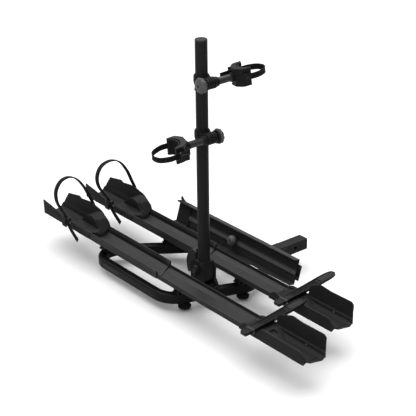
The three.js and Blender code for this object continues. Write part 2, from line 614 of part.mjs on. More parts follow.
function makeArm(name, { z, side, rodEnd, roll, pitch }) {
  const arm = groupAt(0, 0, z);
  const sleeve = (radius, reach) => pinZ(radius, reach, ROUND);
  const linerBody = join(sleeve(LINER[1], [-38, 26]), sleeve(LINER[1] + 1.2, [-38, -35]),
    sleeve(LINER[1] + 1.2, [23, 26]));
  add(`${name}_arm_liner`, cut(linerBody, sleeve(LINER[0], [-50, 50])), RUBBER, arm);

  // The saddle is a band with a lug that its bolt squeezes across a slit.
  const bore = sleeve(LINER[1] + 0.5, [-50, 50]);
  const band = sleeve(SADDLE_R, [-34, 22]);
  const lug = common(block([14, ARM_X + 21], [-22, 22], [-34, 22]),
    join(pinY(24, [-22, 22]).translate(ARM_X, 0, 0), block([0, ARM_X - 6], [-22, 22], [-34, 22])));
  const slit = block([26, ARM_X + 40], [-1.5, 1.5], [-50, 50]);
  const boltHole = pinY(6.5, [-60, 60]).translate(ARM_X, 0, 0);
  const waist = (y) => cut(pinY(26, y), pinY(21.5, y)).translate(ARM_X, 0, 0);
  const saddle = cut(join(band, lug), bore, slit, boltHole, waist([-12, -6]), waist([6, 12]));
  add(`${name}_arm_saddle`, saddle, PLASTIC, arm);

  // The rod screws on a bolt that runs through the saddle to the knob on its other side.
  const outward = (y) => (side > 0 ? y : [-y[1], -y[0]]);
  const bolt = pinY(6, outward([-38, 32]));
  const collar = pinY(19, outward([22 + GAP, 32]));
  const rod = join(pinY(ROD_R, outward([31, rodEnd])), collar, bolt);
  add(`${name}_arm_rod`, rod.translate(ARM_X, 0, 0), ANODISED, arm);

  const face = alongY(lobedDisc(33, 4, 9), outward([-50, -27.5]), 3);
  const dome = turnedY([[30, 0], [24, 7], [12, 11], [4, 12]]).translate(0, -0.5, 0);
  const domed = side > 0 ? dome.rotateX(Math.PI).translate(0, -49, 0) : dome.translate(0, 49, 0);
  const nutBore = pinY(6 + RUN, outward([-40, -20]));
  const keyBore = pinY(5.2, outward([-70, -54]));
  const hub = pinY(17, outward([-28, -22 - GAP]));
  add(`${name}_arm_knob`, cut(join(face, domed, hub), nutBore, keyBore).translate(ARM_X, 0, 0), PALE, arm);
  makeHead(name, side, rodEnd, roll, pitch, arm);
}

// The head is drawn with its mouth towards +Y and then turned to the arm's own side.
function makeHead(name, side, rodEnd, roll, pitch, arm) {
  const head = groupAt(ARM_X, side * rodEnd, 0, arm);
  head.rotation.y = THREE.MathUtils.degToRad(roll);
  const swung = groupAt(0, 0, 0, head);
  swung.rotation.z = THREE.MathUtils.degToRad(HEAD_TURN + (side > 0 ? 0 : 180));
  const turned = groupAt(0, 0, 0, swung);
  turned.rotation.x = THREE.MathUtils.degToRad(pitch);

  const half = 41;
  const jawShape = new THREE.Shape();
  jawShape.moveTo(-half, 74);
  jawShape.lineTo(-half, 46);
  jawShape.bezierCurveTo(-half, 32, -24, 24, -17, 15);
  jawShape.lineTo(17, 15);
  jawShape.bezierCurveTo(24, 24, half, 32, half, 46);
  jawShape.lineTo(half, 74);
  jawShape.lineTo(half - 6, 74);
  jawShape.bezierCurveTo(half - 6, 52, 22, 39, 0, 36);
  jawShape.bezierCurveTo(-22, 39, -half + 6, 52, -half + 6, 74);
  const jaw = alongZ(jawShape, [-38, 38], 2);
  const neck = pinY(18, [GAP, 24]).rotateZ(THREE.MathUtils.degToRad(-HEAD_TURN))
    .rotateX(THREE.MathUtils.degToRad(-pitch));
  add(`${name}_arm_cradle`, join(jaw, neck), PLASTIC, turned);

  const padShape = new THREE.Shape();
  padShape.moveTo(half - 7, 72);
  padShape.bezierCurveTo(half - 8, 54, 21, 42, 0, 39);
  padShape.bezierCurveTo(-21, 42, -half + 8, 54, -half + 7, 72);
  padShape.lineTo(-half + 12, 72);
  padShape.bezierCurveTo(-half + 13, 58, -18, 48, 0, 45);
  padShape.bezierCurveTo(18, 48, half - 13, 58, half - 12, 72);
  add(`${name}_arm_pad`, alongZ(padShape, [-36, 36], 1), RUBBER, turned);

  const strap = alongZ(ribbon([
    [half + 4, 42], [half + 4, 72], [half + 4, 104], [half - 12, 142], [2, 156], [-half + 12, 142],
    [-half - 4, 104], [-half - 4, 72], [-half - 5, 32], [-half - 2, -22],
  ], 3.4, 36), [-12.5, 12.5]);
  const post = block([half + GAP, half + 3], [46, 62], [-12.5, 12.5]);
  add(`${name}_arm_strap`, join(strap, post), RUBBER, turned);

  const buckle = cut(block([-half - 15, -half - GAP], [36, 70], [-17, 17]),
    block([-half - 8.5, -half - 0.9], [0, 90], [-14, 14]));
  add(`${name}_arm_buckle`, buckle, PLASTIC, turned);

  const leverShape = outline([
    [-half - 15.6, 66], [-half - 19, 70], [-half - 27, 62], [-half - 30, 30], [-half - 26, 28],
    [-half - 21, 52], [-half - 15.6, 56],
  ]);
  add(`${name}_arm_ratchet_lever`, alongZ(leverShape, [-15, 15], 1.5), PLASTIC, turned);
}

// ---------------------------------------------------------------- stowed ramp
function makeRamp() {
  const ramp = groupAt(0, RAMP_Y, RAMP_Z);
  ramp.rotation.x = THREE.MathUtils.degToRad(-RAMP_LEAN);
  const half = RAMP_HALF;
  // Drawn standing: the wheel side faces -Y and the section is (y, z) about its middle.
  const section = outline([
    [8, -half], [8, half], [-22, half], [-24, half - 4], [-22, half - 7], [5, half - 4], [5, 8], [0, 5],
    [0, -15], [5, -18], [5, 4 - half], [-22, 7 - half], [-24, 4 - half], [-22, -half],
  ]);
  const channel = alongX(section, RAMP_X);
  const bolt = pinY(6 + GAP, [-30, 30], 20).translate(RAMP_KNOB_X, 0, 0);
  const rivets = [20, -14].map((v) => pinY(3, [-30, 30], 12).translate(RAMP_X[1] - 30, 0, v));
  add('ramp_channel', cut(channel, bolt, ...rivets), ANODISED, ramp);

  const endSection = outline([
    [9, -half], [9, half], [-23, half], [-25, half - 4], [-23, half - 8], [4, half - 5], [4, 5 - half],
    [-23, 8 - half], [-25, 4 - half], [-23, -half],
  ]);
  const endBody = alongX(endSection, [RAMP_TIP, RAMP_X[0] - GAP]);
  const nose = alongY(outline([
    [RAMP_TIP - 5, -70], [RAMP_TIP + 24, -70], [RAMP_TIP + 6, -30], [RAMP_TIP + 2, 20],
    [RAMP_TIP + 2, 70], [RAMP_TIP - 5, 70],
  ]), [-60, 60]);
  const lip = alongX(outline([
    [9, half - 4], [9, half + 8], [4, half + 16], [1, half + 16], [4, half], [4, half - 4],
  ]), [RAMP_TIP + 2, RAMP_TIP + 36]);
  add('ramp_end', cut(join(endBody, lip), nose), PLASTIC, ramp);

  const hooks = [22, -20].map((v) => alongX(outline([[9, v - 6], [9, v + 6], [-2, v + 4], [-2, v - 5]]),
    [RAMP_X[1] + GAP, RAMP_X[1] + 15]));
  const hookPlate = alongX(outline([[8.4, -34], [8.4, 34], [12, 34], [12, -34]]),
    [RAMP_X[1] - 30, RAMP_X[1] + 15]);
  add('ramp_hooks', join(hookPlate, ...hooks), PLASTIC, ramp);

  const knob = turnedY([[9, -1.5], [21, -6], [24, -14], [22, -24], [15, -31], [6, -33.5]])
    .translate(RAMP_KNOB_X, 0, 0);
  const stem = pinY(6, [-6, 30], 20).translate(RAMP_KNOB_X, 0, 0);
  const dimple = pinY(5, [-40, -30], 16).translate(RAMP_KNOB_X, 0, 0);
  add('ramp_knob', cut(join(knob, stem), dimple), PALE, ramp);

  // The bracket stands on the frame behind the ramp and leans with it. Its slot is open at the top, so
  // the ramp lifts out with its knob once that is loosened.
  const leaning = (geometry) => geometry.rotateX(THREE.MathUtils.degToRad(-RAMP_LEAN))
    .translate(0, RAMP_Y, RAMP_Z);
  const plate = leaning(block([RAMP_KNOB_X - 32, RAMP_KNOB_X + 32], [13, 19], [-70, 40]));
  const bore = leaning(pinY(6 + GAP, [-30, 40], 20).translate(RAMP_KNOB_X, 0, 0));
  const slot = leaning(block([RAMP_KNOB_X - 6.3, RAMP_KNOB_X + 6.3], [-30, 40], [0, 60]));
  const footing = block([RAMP_KNOB_X - 32, RAMP_KNOB_X + 32], [250, 330], [FRAME_TOP + GAP, FRAME_TOP + 8]);
  const rib = alongX(outline([[262, -14], [322, -14], [286, 40], [274, 40]]),
    [RAMP_KNOB_X - 4, RAMP_KNOB_X + 4]);
  add('ramp_bracket', cut(join(plate, footing, rib), bore, slot), PAINT);
}

makeHitch();
makeFrame();
for (const [side, y] of [['near', -TRAY_Y], ['far', TRAY_Y]]) {
  makeTrayBracket(side, 'left');
  makeTrayBracket(side, 'right');
  makeRail(side, y);
  makeSleeve(side, y);
  makeFrontCup(side, y);
  makeRearCup(side, y);
  makeFrontStrap(side, y);
  makeRearStrap(side, y);
}
makeMastHinge();
makeMast();
for (const [name, arm] of Object.entries(ARMS)) makeArm(name, arm);
makeRamp();

export default rack;
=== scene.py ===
# Hitch mounted bike rack: the visual model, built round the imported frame.
from functools import partial
from math import cos, degrees, pi, radians, sin, tan

import bmesh
import bpy
from mathutils import Matrix, Vector


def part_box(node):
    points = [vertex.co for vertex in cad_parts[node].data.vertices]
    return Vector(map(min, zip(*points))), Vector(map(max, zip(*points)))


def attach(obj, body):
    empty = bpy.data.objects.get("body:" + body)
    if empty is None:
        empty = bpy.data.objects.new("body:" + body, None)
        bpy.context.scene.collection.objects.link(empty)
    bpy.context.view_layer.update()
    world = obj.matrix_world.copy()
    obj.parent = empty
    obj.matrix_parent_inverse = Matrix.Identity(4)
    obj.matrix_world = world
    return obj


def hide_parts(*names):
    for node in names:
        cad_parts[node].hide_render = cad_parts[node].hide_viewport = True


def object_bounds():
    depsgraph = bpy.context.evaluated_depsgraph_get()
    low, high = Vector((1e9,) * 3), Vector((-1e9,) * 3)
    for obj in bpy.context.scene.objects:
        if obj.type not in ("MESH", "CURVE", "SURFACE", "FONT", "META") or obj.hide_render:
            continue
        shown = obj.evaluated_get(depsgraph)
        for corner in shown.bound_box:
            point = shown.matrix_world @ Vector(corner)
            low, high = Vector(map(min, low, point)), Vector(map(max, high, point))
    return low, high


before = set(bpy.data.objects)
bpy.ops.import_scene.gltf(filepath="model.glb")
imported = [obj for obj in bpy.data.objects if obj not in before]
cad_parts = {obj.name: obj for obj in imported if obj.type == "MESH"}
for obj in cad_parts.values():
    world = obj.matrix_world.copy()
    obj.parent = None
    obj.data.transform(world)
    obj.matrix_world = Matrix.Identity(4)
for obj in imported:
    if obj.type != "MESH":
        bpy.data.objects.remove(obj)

CAD_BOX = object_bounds()
MM = 0.001
SIDES = ("near", "far")

# Shapes are drawn in millimetres about the mast's axis, with z from the middle of the shank.
mast_low, mast_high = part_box("mast_tube")
MAST = Vector(((mast_low.x + mast_high.x) / 2, (mast_low.y + mast_high.y) / 2, 0))
HOME = Matrix.Translation(MAST) @ Matrix.Diagonal((MM, MM, MM, 1))


def span(node):
    """A CAD node's lowest and highest corner in the drawing's millimetres."""
    low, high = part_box(node)
    return (low - MAST) / MM, (high - MAST) / MM


def middle(node):
    low, high = span(node)
    return (low + high) / 2


TRAY_Y = {side: middle(f"tray_rail_{side}").y for side in SIDES}
MAST_R = span("mast_tube")[1].y
MAST_TOP = mast_high.z / MM
ROD_R = 15
RAMP_HALF = 57
SHARP = 32
RELIEF = 0.2 * MM
REAR_STRAP_SLOPE = 5.7
REAR_STRAP_REACH = 280
ARM_X = 50
RAMP_LEAN = -17

# The camera's azimuth, elevation and roll in degrees, its place in metres and its lens.
CAMERA_TURN = (51.045, 24.839, -0.668)
CAMERA_PLACE = (3.75916, -3.51712, 2.569)
LENS = 111.17
FLOOR_HALF = 80
FLOOR_GAP = 0.002
FLOOR_GREY = (0.45, 0.45, 0.45, 1)
WORLD_STRENGTH = 0.3

# Each arm's height and its hand (1 reaches to the far side), its reach, how its head is set in degrees,
# and where the tail of its strap ends.
ARMS = {
    "upper": {"height": 895, "hand": 1, "reach": 106, "roll": 0, "turn": -10, "pitch": 6, "tail": -22},
    "lower": {"height": 662, "hand": -1, "reach": 112, "roll": 10, "turn": -10, "pitch": -10, "tail": 14},
}


# ---------------------------------------------------------------- materials
def nodes_of(name):
    material = bpy.data.materials.new(name)
    material.use_nodes = True
    tree = material.node_tree
    return material, tree, tree.nodes["Principled BSDF"]


def set_inputs(node, values):
    for name, value in values.items():
        node.inputs[name].default_value = value


def noise_node(tree, scale, detail, stretch=(1, 1, 1)):
    """Noise on the object's own coordinates, in features of about 1 / scale metres."""
    place = tree.nodes.new("ShaderNodeTexCoord")
    mapping = tree.nodes.new("ShaderNodeMapping")
    mapping.inputs["Scale"].default_value = stretch
    texture = tree.nodes.new("ShaderNodeTexNoise")
    set_inputs(texture, {"Scale": scale, "Detail": detail})
    tree.links.new(place.outputs["Object"], mapping.inputs["Vector"])
    tree.links.new(mapping.outputs["Vector"], texture.inputs["Vector"])
    return texture


def spread(tree, source, low, high, start=0.3, end=0.7):
    """The source's values from start to end, spread from low to high."""
    node = tree.nodes.new("ShaderNodeMapRange")
    set_inputs(node, {"From Min": start, "From Max": end, "To Min": low, "To Max": high})
    tree.links.new(source, node.inputs["Value"])
    return node.outputs["Result"]


def blend_colours(tree, factor, first, second):
    """Mixes two colours, or a node's colour and a plain one, by a factor."""
    mix = tree.nodes.new("ShaderNodeMix")
    mix.data_type = "RGBA"
    tree.links.new(factor, mix.inputs["Factor"])
    for socket, value in (("A", first), ("B", second)):
        target = next(s for s in mix.inputs if s.name == socket and s.type == "RGBA")
        if isinstance(value, tuple):
            target.default_value = (*value, 1)
        else:
            tree.links.new(value, target)
    return next(s for s in mix.outputs if s.type == "RGBA")


def grey(value, warm=0.0):
    return (value * (1 + warm), value, value * (1 - warm))


def surface(name, dark, light, rough, grain, depth, metal=0.0, specular=0.5, stretch=(1, 1, 1),
            patch=9.0, painted_edge_highlight=None, warm=0.0):
    """A finish for a material slot, between a dark and a light grey. It has slow colour patches, a fine
    grain in its relief and gloss, and a painted highlight that makes its sharp edges paler."""
    dark, light = grey(dark, warm), grey(light, warm)
    material, tree, shader = nodes_of(name)
    slow = noise_node(tree, patch, 6.0)
    fine = noise_node(tree, grain, 3.0, stretch)
    colour = blend_colours(tree, spread(tree, slow.outputs["Fac"], 0, 1), dark, light)
    speck = spread(tree, fine.outputs["Fac"], 0, 0.55, 0.45, 0.8)
    colour = blend_colours(tree, speck, colour, tuple(1.5 * c for c in light))
    # Painted highlight: sharp convex edges, found by pointiness, are mixed towards a paler grey.
    if painted_edge_highlight:
        geometry = tree.nodes.new("ShaderNodeNewGeometry")
        edge = spread(tree, geometry.outputs["Pointiness"], 0, 1, 0.505, 0.6)
        colour = blend_colours(tree, edge, colour, grey(painted_edge_highlight))
    tree.links.new(colour, shader.inputs["Base Color"])
    gloss = tree.nodes.new("ShaderNodeMath")
    gloss.operation = "ADD"
    tree.links.new(spread(tree, slow.outputs["Fac"], rough[0], rough[1]), gloss.inputs[0])
    tree.links.new(spread(tree, fine.outputs["Fac"], -0.05, 0.05), gloss.inputs[1])
    tree.links.new(gloss.outputs["Value"], shader.inputs["Roughness"])
    bump = tree.nodes.new("ShaderNodeBump")
    set_inputs(bump, {"Strength": depth, "Distance": RELIEF})
    tree.links.new(fine.outputs["Fac"], bump.inputs["Height"])
    tree.links.new(bump.outputs["Normal"], shader.inputs["Normal"])
    set_inputs(shader, {"Metallic": metal, "Specular IOR Level": specular})
    return material


PAINT = surface("satin_black_paint", 0.002, 0.0034, (0.34, 0.44), 520, 0.35,
                specular=0.06, painted_edge_highlight=0.012)
ANODISED = surface("black_anodised_extrusion", 0.0045, 0.007, (0.4, 0.5), 900, 0.25,
                   specular=0.12, stretch=(0.02, 1, 1), painted_edge_highlight=0.02)
TUBE_FINISH = surface("black_anodised_tube", 0.0015, 0.0026, (0.34, 0.42), 900, 0.22,
                      specular=0.045, stretch=(1, 1, 0.02), painted_edge_highlight=0.012)
PLASTIC = surface("moulded_black_plastic", 0.0065, 0.0095, (0.5, 0.6), 1300, 0.5,
                  specular=0.05, painted_edge_highlight=0.018, warm=0.01)
DARK_PLASTIC = surface("glossy_black_plastic", 0.0012, 0.0025, (0.38, 0.48), 1100, 0.3,
                       specular=0.08, painted_edge_highlight=0.008)
RUBBER = surface("black_rubber", 0.0015, 0.003, (0.58, 0.7), 1600, 0.6,
                 specular=0.07, painted_edge_highlight=0.006)
STRAP = surface("strap_rubber", 0.0018, 0.0032, (0.45, 0.56), 1400, 0.4,
                specular=0.08, painted_edge_highlight=0.01)
PALE = surface("grey_grip_plastic", 0.034, 0.044, (0.42, 0.52), 1300, 0.35,
               specular=0.16, painted_edge_highlight=0.05)
ROD = surface("grey_arm_tube", 0.007, 0.011, (0.3, 0.4), 900, 0.22,
              specular=0.13, stretch=(1, 0.03, 1), painted_edge_highlight=0.025, metal=0.2)
STEEL = surface("zinc_steel", 0.05, 0.08, (0.32, 0.44), 1000, 0.25,
                patch=60, painted_edge_highlight=0.15, metal=0.9)
CAP = surface("grey_cap_plastic", 0.008, 0.012, (0.46, 0.56), 1300, 0.35,
              specular=0.1, painted_edge_highlight=0.02)
GRIP = surface("grey_lever_plastic", 0.006, 0.01, (0.42, 0.52), 1300, 0.35,
               specular=0.12, painted_edge_highlight=0.022)
SCREW = surface("black_screw", 0.0025, 0.0045, (0.3, 0.4), 900, 0.2,
                specular=0.16, painted_edge_highlight=0.02)
STRIP = surface("bare_grip_strip", 0.014, 0.02, (0.42, 0.54), 900, 0.35,
                specular=0.12, stretch=(0.03, 1, 1), painted_edge_highlight=0.04)
# Painted shade: a near black finish for the lock slot, the ramp knob's core and the ramp end's seam, standing
# in for the shade in them.
SHADOW = surface("painted_recess_shade", 0.001, 0.0015, (0.6, 0.7), 900, 0.2, specular=0.04)


# ---------------------------------------------------------------- outlines
def rounded(points, radius, steps=5, closed=True):
    """The outline with its corners rounded. A corner may carry its own radius as a third number."""
    count = len(points)
    result = []
    for i, corner in enumerate(points):
        here = Vector(corner[:2])
        r = corner[2] if len(corner) > 2 else radius
        if r <= 0 or (not closed and i in (0, count - 1)):
            result.append(here)
            continue
        before = Vector(points[i - 1][:2]) - here
        after = Vector(points[(i + 1) % count][:2]) - here
        room = min(before.length, after.length) * 0.48
        if room < 1e-3:
            continue
        half = before.angle(after) / 2
        if half > radians(89):
            result.append(here)
            continue
        back = min(r / tan(half), room)
        r = back * tan(half)
        bisector = (before.normalized() + after.normalized()).normalized()
        centre = here + bisector * (r / sin(half))
        start = here + before.normalized() * back - centre
        turn = pi - 2 * half
        if start.x * after.y - start.y * after.x < 0:
            turn = -turn
        for k in range(steps + 1):
            angle = turn * k / steps
            result.append(centre + Vector((
                start.x * cos(angle) - start.y * sin(angle),
                start.x * sin(angle) + start.y * cos(angle))))
    return [(p.x, p.y) for p in result]


def circle(radius, sides):
    return [(radius * cos(2 * pi * i / sides), radius * sin(2 * pi * i / sides)) for i in range(sides)]


def box_outline(u, v, radius=2.0, steps=4):
    return rounded([(u[0], v[0]), (u[1], v[0]), (u[1], v[1]), (u[0], v[1])], radius, steps)


def smooth_line(points, steps=8):
    """A smooth curve through the points."""
    knots = [Vector(p) for p in points]
    result = []
    for i in range(len(knots) - 1):
        a, b = knots[max(i - 1, 0)], knots[i]
        c, d = knots[i + 1], knots[min(i + 2, len(knots) - 1)]
        for k in range(steps):
            t = k / steps
            result.append(0.5 * ((2 * b) + (c - a) * t + (2 * a - 5 * b + 4 * c - d) * t ** 2
                                 + (3 * b - a - 3 * c + d) * t ** 3))
    return result + [knots[-1]]


def level(points, x):
    """The height of a line of (x, height) points at x."""
    if x <= points[0][0]:
        return points[0][1]
    for (x0, z0), (x1, z1) in zip(points, points[1:]):
        if x <= x1:
            return z0 + (z1 - z0) * (x - x0) / (x1 - x0)
    return points[-1][1]


def soft_min(a, b, blend):
    h = max(blend - abs(a - b), 0) / blend
    return min(a, b) - h * h * blend / 4


def soft_max(a, b, blend):
    return -soft_min(-a, -b, blend)


# ---------------------------------------------------------------- meshes
AXES = {
    "x": lambda u, v, w: (w, u, v),
    "y": lambda u, v, w: (u, w, v),
    "z": lambda u, v, w: (u, v, w),
}


def add_rings(bm, rings, closed=False, caps=True):
    """Joins rings of points, all of one length, into a skin."""
    made = [[bm.verts.new(p) for p in ring] for ring in rings]
    count = len(made[0])
    pairs = list(zip(made, made[1:])) + ([(made[-1], made[0])] if closed else [])
    for one, two in pairs:
        for i in range(count):
            j = (i + 1) % count
            bm.faces.new((one[i], one[j], two[j], two[i]))
    if caps and not closed:
        bm.faces.new(list(reversed(made[0])))
        bm.faces.new(made[-1])


def add_prism(bm, shape, axis, low, high):
    add_rings(bm, [[AXES[axis](u, v, w) for u, v in shape] for w in (low, high)])


def add_lathe(bm, profile, axis="z", centre=(0, 0), sides=64, wave=None, closed=False):
    """Turns [(radius, along)] about an axis. wave(angle) scales the radius where a point asks for it."""
    rings = []
    for radius, along, *share in profile:
        ring = []
        for i in range(sides):
            angle = 2 * pi * i / sides
            reach = radius * (1 + share[0] * wave(angle)) if share and wave else radius
            ring.append(AXES[axis](centre[0] + reach * cos(angle),
                                   centre[1] + reach * sin(angle), along))
        rings.append(ring)
    add_rings(bm, rings, closed)


def lathe(*values, **options):
    """A new turned shape. It takes what add_lathe takes."""
    bm = bmesh.new()
    add_lathe(bm, *values, **options)
    return bm


def prism(shape, axis, low, high):
    bm = bmesh.new()
    add_prism(bm, shape, axis, low, high)
    return bm


def sweep(path, section, across):
    """Runs a (side, up) section along a path. across is the direction that the section's side takes."""
    rings = []
    for i, at in enumerate(path):
        ahead, behind = path[min(i + 1, len(path) - 1)], path[max(i - 1, 0)]
        along = (ahead - behind).normalized()
        side = (across - along * across.dot(along)).normalized()
        up = along.cross(side)
        rings.append([at + side * u + up * v for u, v in section])
    bm = bmesh.new()
    add_rings(bm, rings)
    return bm


def add_box(bm, x, y, z):
    add_prism(bm, [(x[0], y[0]), (x[1], y[0]), (x[1], y[1]), (x[0], y[1])], "z", z[0], z[1])


def to_mesh(bm, name):
    """The finished mesh of a bmesh, which is freed."""
    mesh = bpy.data.meshes.new(name)
    bm.to_mesh(mesh)
    bm.free()
    return mesh


def add_object(name, data):
    thing = bpy.data.objects.new(name, data)
    bpy.context.scene.collection.objects.link(thing)
    return thing


def piece(name, bm, body, finish, replaced=(), bevel=0.0, sharp=SHARP, place=None, parts=2, slot=None):
    """Makes the object: placed, smooth shaded with crisp edges, softened, named and riding its body.
    Its slot argument is not used."""
    bmesh.ops.remove_doubles(bm, verts=bm.verts, dist=1e-4)
    bmesh.ops.recalc_face_normals(bm, faces=bm.faces)
    bm.transform(HOME @ (place or Matrix()))
    mesh = to_mesh(bm, name)
    mesh.shade_smooth()
    mesh.set_sharp_from_angle(angle=radians(sharp))
    thing = add_object(name, mesh)
    mesh.materials.append(finish)
    if bevel:
        soften(thing, bevel, parts)
    if replaced:
        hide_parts(*replaced)
    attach(thing, body)
    return thing


def soften(thing, width, parts=2, harden=True):
    """Rounds the edges where two faces meet sharply."""
    bevel = thing.modifiers.new("soft_edges", "BEVEL")
    bevel.width = width * MM
    bevel.segments = parts
    bevel.limit_method = "ANGLE"
    bevel.angle_limit = radians(SHARP)
    bevel.harden_normals = harden


def keep(node, finish, width):
    """A CAD node that stays: its flat faces are made whole, its edges softened, and it gets a finish."""
    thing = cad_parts[node]
    weld = thing.modifiers.new("weld", "WELD")
    weld.merge_threshold = 0.02 * MM
    flat = thing.modifiers.new("whole_faces", "DECIMATE")
    flat.decimate_type = "DISSOLVE"
    flat.angle_limit = radians(1)
    soften(thing, width, harden=False)
    normals = thing.modifiers.new("even_shading", "WEIGHTED_NORMAL")
    normals.weight = 80
    thing.data.materials.clear()
    thing.data.materials.append(finish)


def carve(thing, bm):
    """Cuts a shape out of a piece."""
    bmesh.ops.recalc_face_normals(bm, faces=bm.faces)
    bm.transform(HOME)
    mesh = to_mesh(bm, "cutter")
    cutter = add_object("cutter", mesh)
    cut = thing.modifiers.new("cut", "BOOLEAN")
    cut.operation = "DIFFERENCE"
    cut.solver = "EXACT"
    cut.object = cutter
    bpy.context.view_layer.update()
    graph = bpy.context.evaluated_depsgraph_get()
    result = bpy.data.meshes.new_from_object(thing.evaluated_get(graph), depsgraph=graph)
    thing.modifiers.remove(cut)
    thing.data = result
    bpy.data.objects.remove(cutter)
    bpy.data.meshes.remove(mesh)
    result.shade_smooth()
    result.set_sharp_from_angle(angle=radians(SHARP))


def screw(name, at, normal, radius, body, finish=STEEL, place=None):
    """A button head screw with a hexagon recess, standing on a surface."""
    bm = bmesh.new()
    head = [(radius, 0), (radius, radius * 0.2), (radius * 0.86, radius * 0.42),
            (radius * 0.6, radius * 0.56), (radius * 0.46, radius * 0.58)]
    add_lathe(bm, head, sides=24)
    socket = [(radius * 0.42, radius * 0.59), (radius * 0.36, radius * 0.22)]
    add_lathe(bm, socket, sides=6)
    turn = Vector((0, 0, 1)).rotation_difference(Vector(normal)).to_matrix().to_4x4()
    where = (place or Matrix()) @ Matrix.Translation(at) @ turn
    piece(name, bm, body, finish, place=where, sharp=30)


# ---------------------------------------------------------------- shank, clevis and tilt pin
def make_hitch():
    for node in ("hitch_shank", "hitch_clevis"):
        keep(node, PAINT, 1.2)
    keep("tilt_release_lever", PLASTIC, 1.0)
    low, high = span("tilt_pin")
    y, reach = (low.y + high.y) / 2, high.x
    bm = lathe([(5, -reach), (11.5, -reach), (13, -reach + 1.5), (13, -reach + 8), (8, -reach + 8.7),
                (8, reach - 8.7), (13, reach - 8), (13, reach - 1.5), (11.5, reach), (5, reach)],
               "x", (y, 0), 48)
    piece("tilt_pin_turned", bm, "hitch", STEEL, ["tilt_pin"])


# ---------------------------------------------------------------- ring frame
FRAME_CORNERS = [(-30, -178, 110), (100, 168, 60), (4, 372, 34), (-326, 245, 90), (-634, -178, 82)]


def frame_path(step=4):
    """The frame tube's centre line: straight members joined by bends."""
    path = []
    count = len(FRAME_CORNERS)
    for i, (x, y, radius) in enumerate(FRAME_CORNERS):
        here = Vector((x, y))
        before = (here - Vector(FRAME_CORNERS[i - 1][:2])).normalized()
        after = (Vector(FRAME_CORNERS[(i + 1) % count][:2]) - here).normalized()
        turn = before.angle(after)
        start = here - before * radius * tan(turn / 2)
        centre = start + Vector((-before.y, before.x)) * radius
        steps = max(6, round(degrees(turn) / step))
        for k in range(steps + 1):
            angle = turn * k / steps
            spoke = start - centre
            path.append(centre + Vector((spoke.x * cos(angle) - spoke.y * sin(angle),
                                         spoke.x * sin(angle) + spoke.y * cos(angle))))
    return path


def make_frame():
    low, high = span("ring_frame")
    top = span("mast_bracket")[0].z - 0.3
    half_width, half_height = 19, (top - low.z) / 2
    section = box_outline((-half_width, half_width), (-half_height, half_height), 11, 7)
    path = [Vector((p.x, p.y, top - half_height)) for p in frame_path()]
    bm = bmesh.new()
    rings = []
    count = len(path)
    for i, at in enumerate(path):
        along = (path[(i + 1) % count] - path[i - 1]).normalized()
        side = along.cross(Vector((0, 0, 1)))
        rings.append([at + side * u + Vector((0, 0, v)) for u, v in section])
    add_rings(bm, rings, closed=True)
    tilt_y = middle("tilt_pin").y
    cheek = rounded([(tilt_y - 17, top - 14), (tilt_y + 12, top - 14), (tilt_y + 14, 0), (tilt_y + 10, 11),
                     (tilt_y, 14), (tilt_y - 10, 11), (tilt_y - 14, 0)], 5, 4)
    add_prism(bm, cheek, "x", -26.6, 26.6)
    piece("ring_frame_tube", bm, "rack", PAINT, ["ring_frame"], bevel=1.2)

    strip = prism(box_outline((-466, -352), (top - 31, top - 16), 3), "y", low.y - 0.3, low.y + 1)
    piece("blank_badge", strip, "rack", CAP, bevel=0.25)

    for name in SIDES:
        low, high = span(f"foot_{name}")
        x, y = (low.x + high.x) / 2, (low.y + high.y) / 2
        radius = high.x - x
        profile = rounded([(0.5, low.z), (radius - 7, low.z), (radius - 1, low.z + 4), (radius, low.z + 9),
                           (radius, high.z - 12), (radius - 5, high.z - 8), (radius - 8, high.z - 7),
                           (radius - 8, high.z), (0.5, high.z)], 1.6, 4, closed=False)
        ridge = [(r, z, 0.02 if low.z + 4 < z < high.z - 9 else 0) for r, z in profile]
        bm = lathe(ridge, "z", (x, y), 96, lambda angle: cos(24 * angle))
        piece(f"foot_{name}_moulded", bm, "rack", RUBBER, [f"foot_{name}"])

    for side in SIDES:
        for end in ("left", "right"):
            node = f"tray_bracket_{side}_{end}"
            keep(node, PAINT, 1.0)
            low, high = span(node)
            for k, x in enumerate((low.x + 4.4, high.x - 4.4)):
                y = (low.y + high.y) / 2
                screw(f"bracket_screw_{side}_{end}_{k}", (x, y, low.z + 4.8), (0, 0, 1), 4, "rack")


# ---------------------------------------------------------------- rails and sleeves
def add_sheet(bm, top, bottom):
    """A closed skin between two grids of points of the same size."""
    one = [[bm.verts.new(p) for p in row] for row in top]
    two = [[bm.verts.new(p) for p in row] for row in bottom]
    rows, columns = len(one), len(one[0])
    for i in range(rows - 1):
        for j in range(columns - 1):
            bm.faces.new((one[i][j], one[i + 1][j], one[i + 1][j + 1], one[i][j + 1]))
            bm.faces.new((two[i][j], two[i][j + 1], two[i + 1][j + 1], two[i + 1][j]))
        bm.faces.new((one[i][0], two[i][0], two[i + 1][0], one[i + 1][0]))
        bm.faces.new((one[i][-1], one[i + 1][-1], two[i + 1][-1], two[i][-1]))
    for j in range(columns - 1):
        bm.faces.new((one[0][j], one[0][j + 1], two[0][j + 1], two[0][j]))
        bm.faces.new((one[-1][j], two[-1][j], two[-1][j + 1], one[-1][j + 1]))


def both_sides(points):
    """A line for one side of a tray and its mirror image, as one line from -y to +y."""
    return [(-y, z) for y, z in reversed(points)] + list(points)


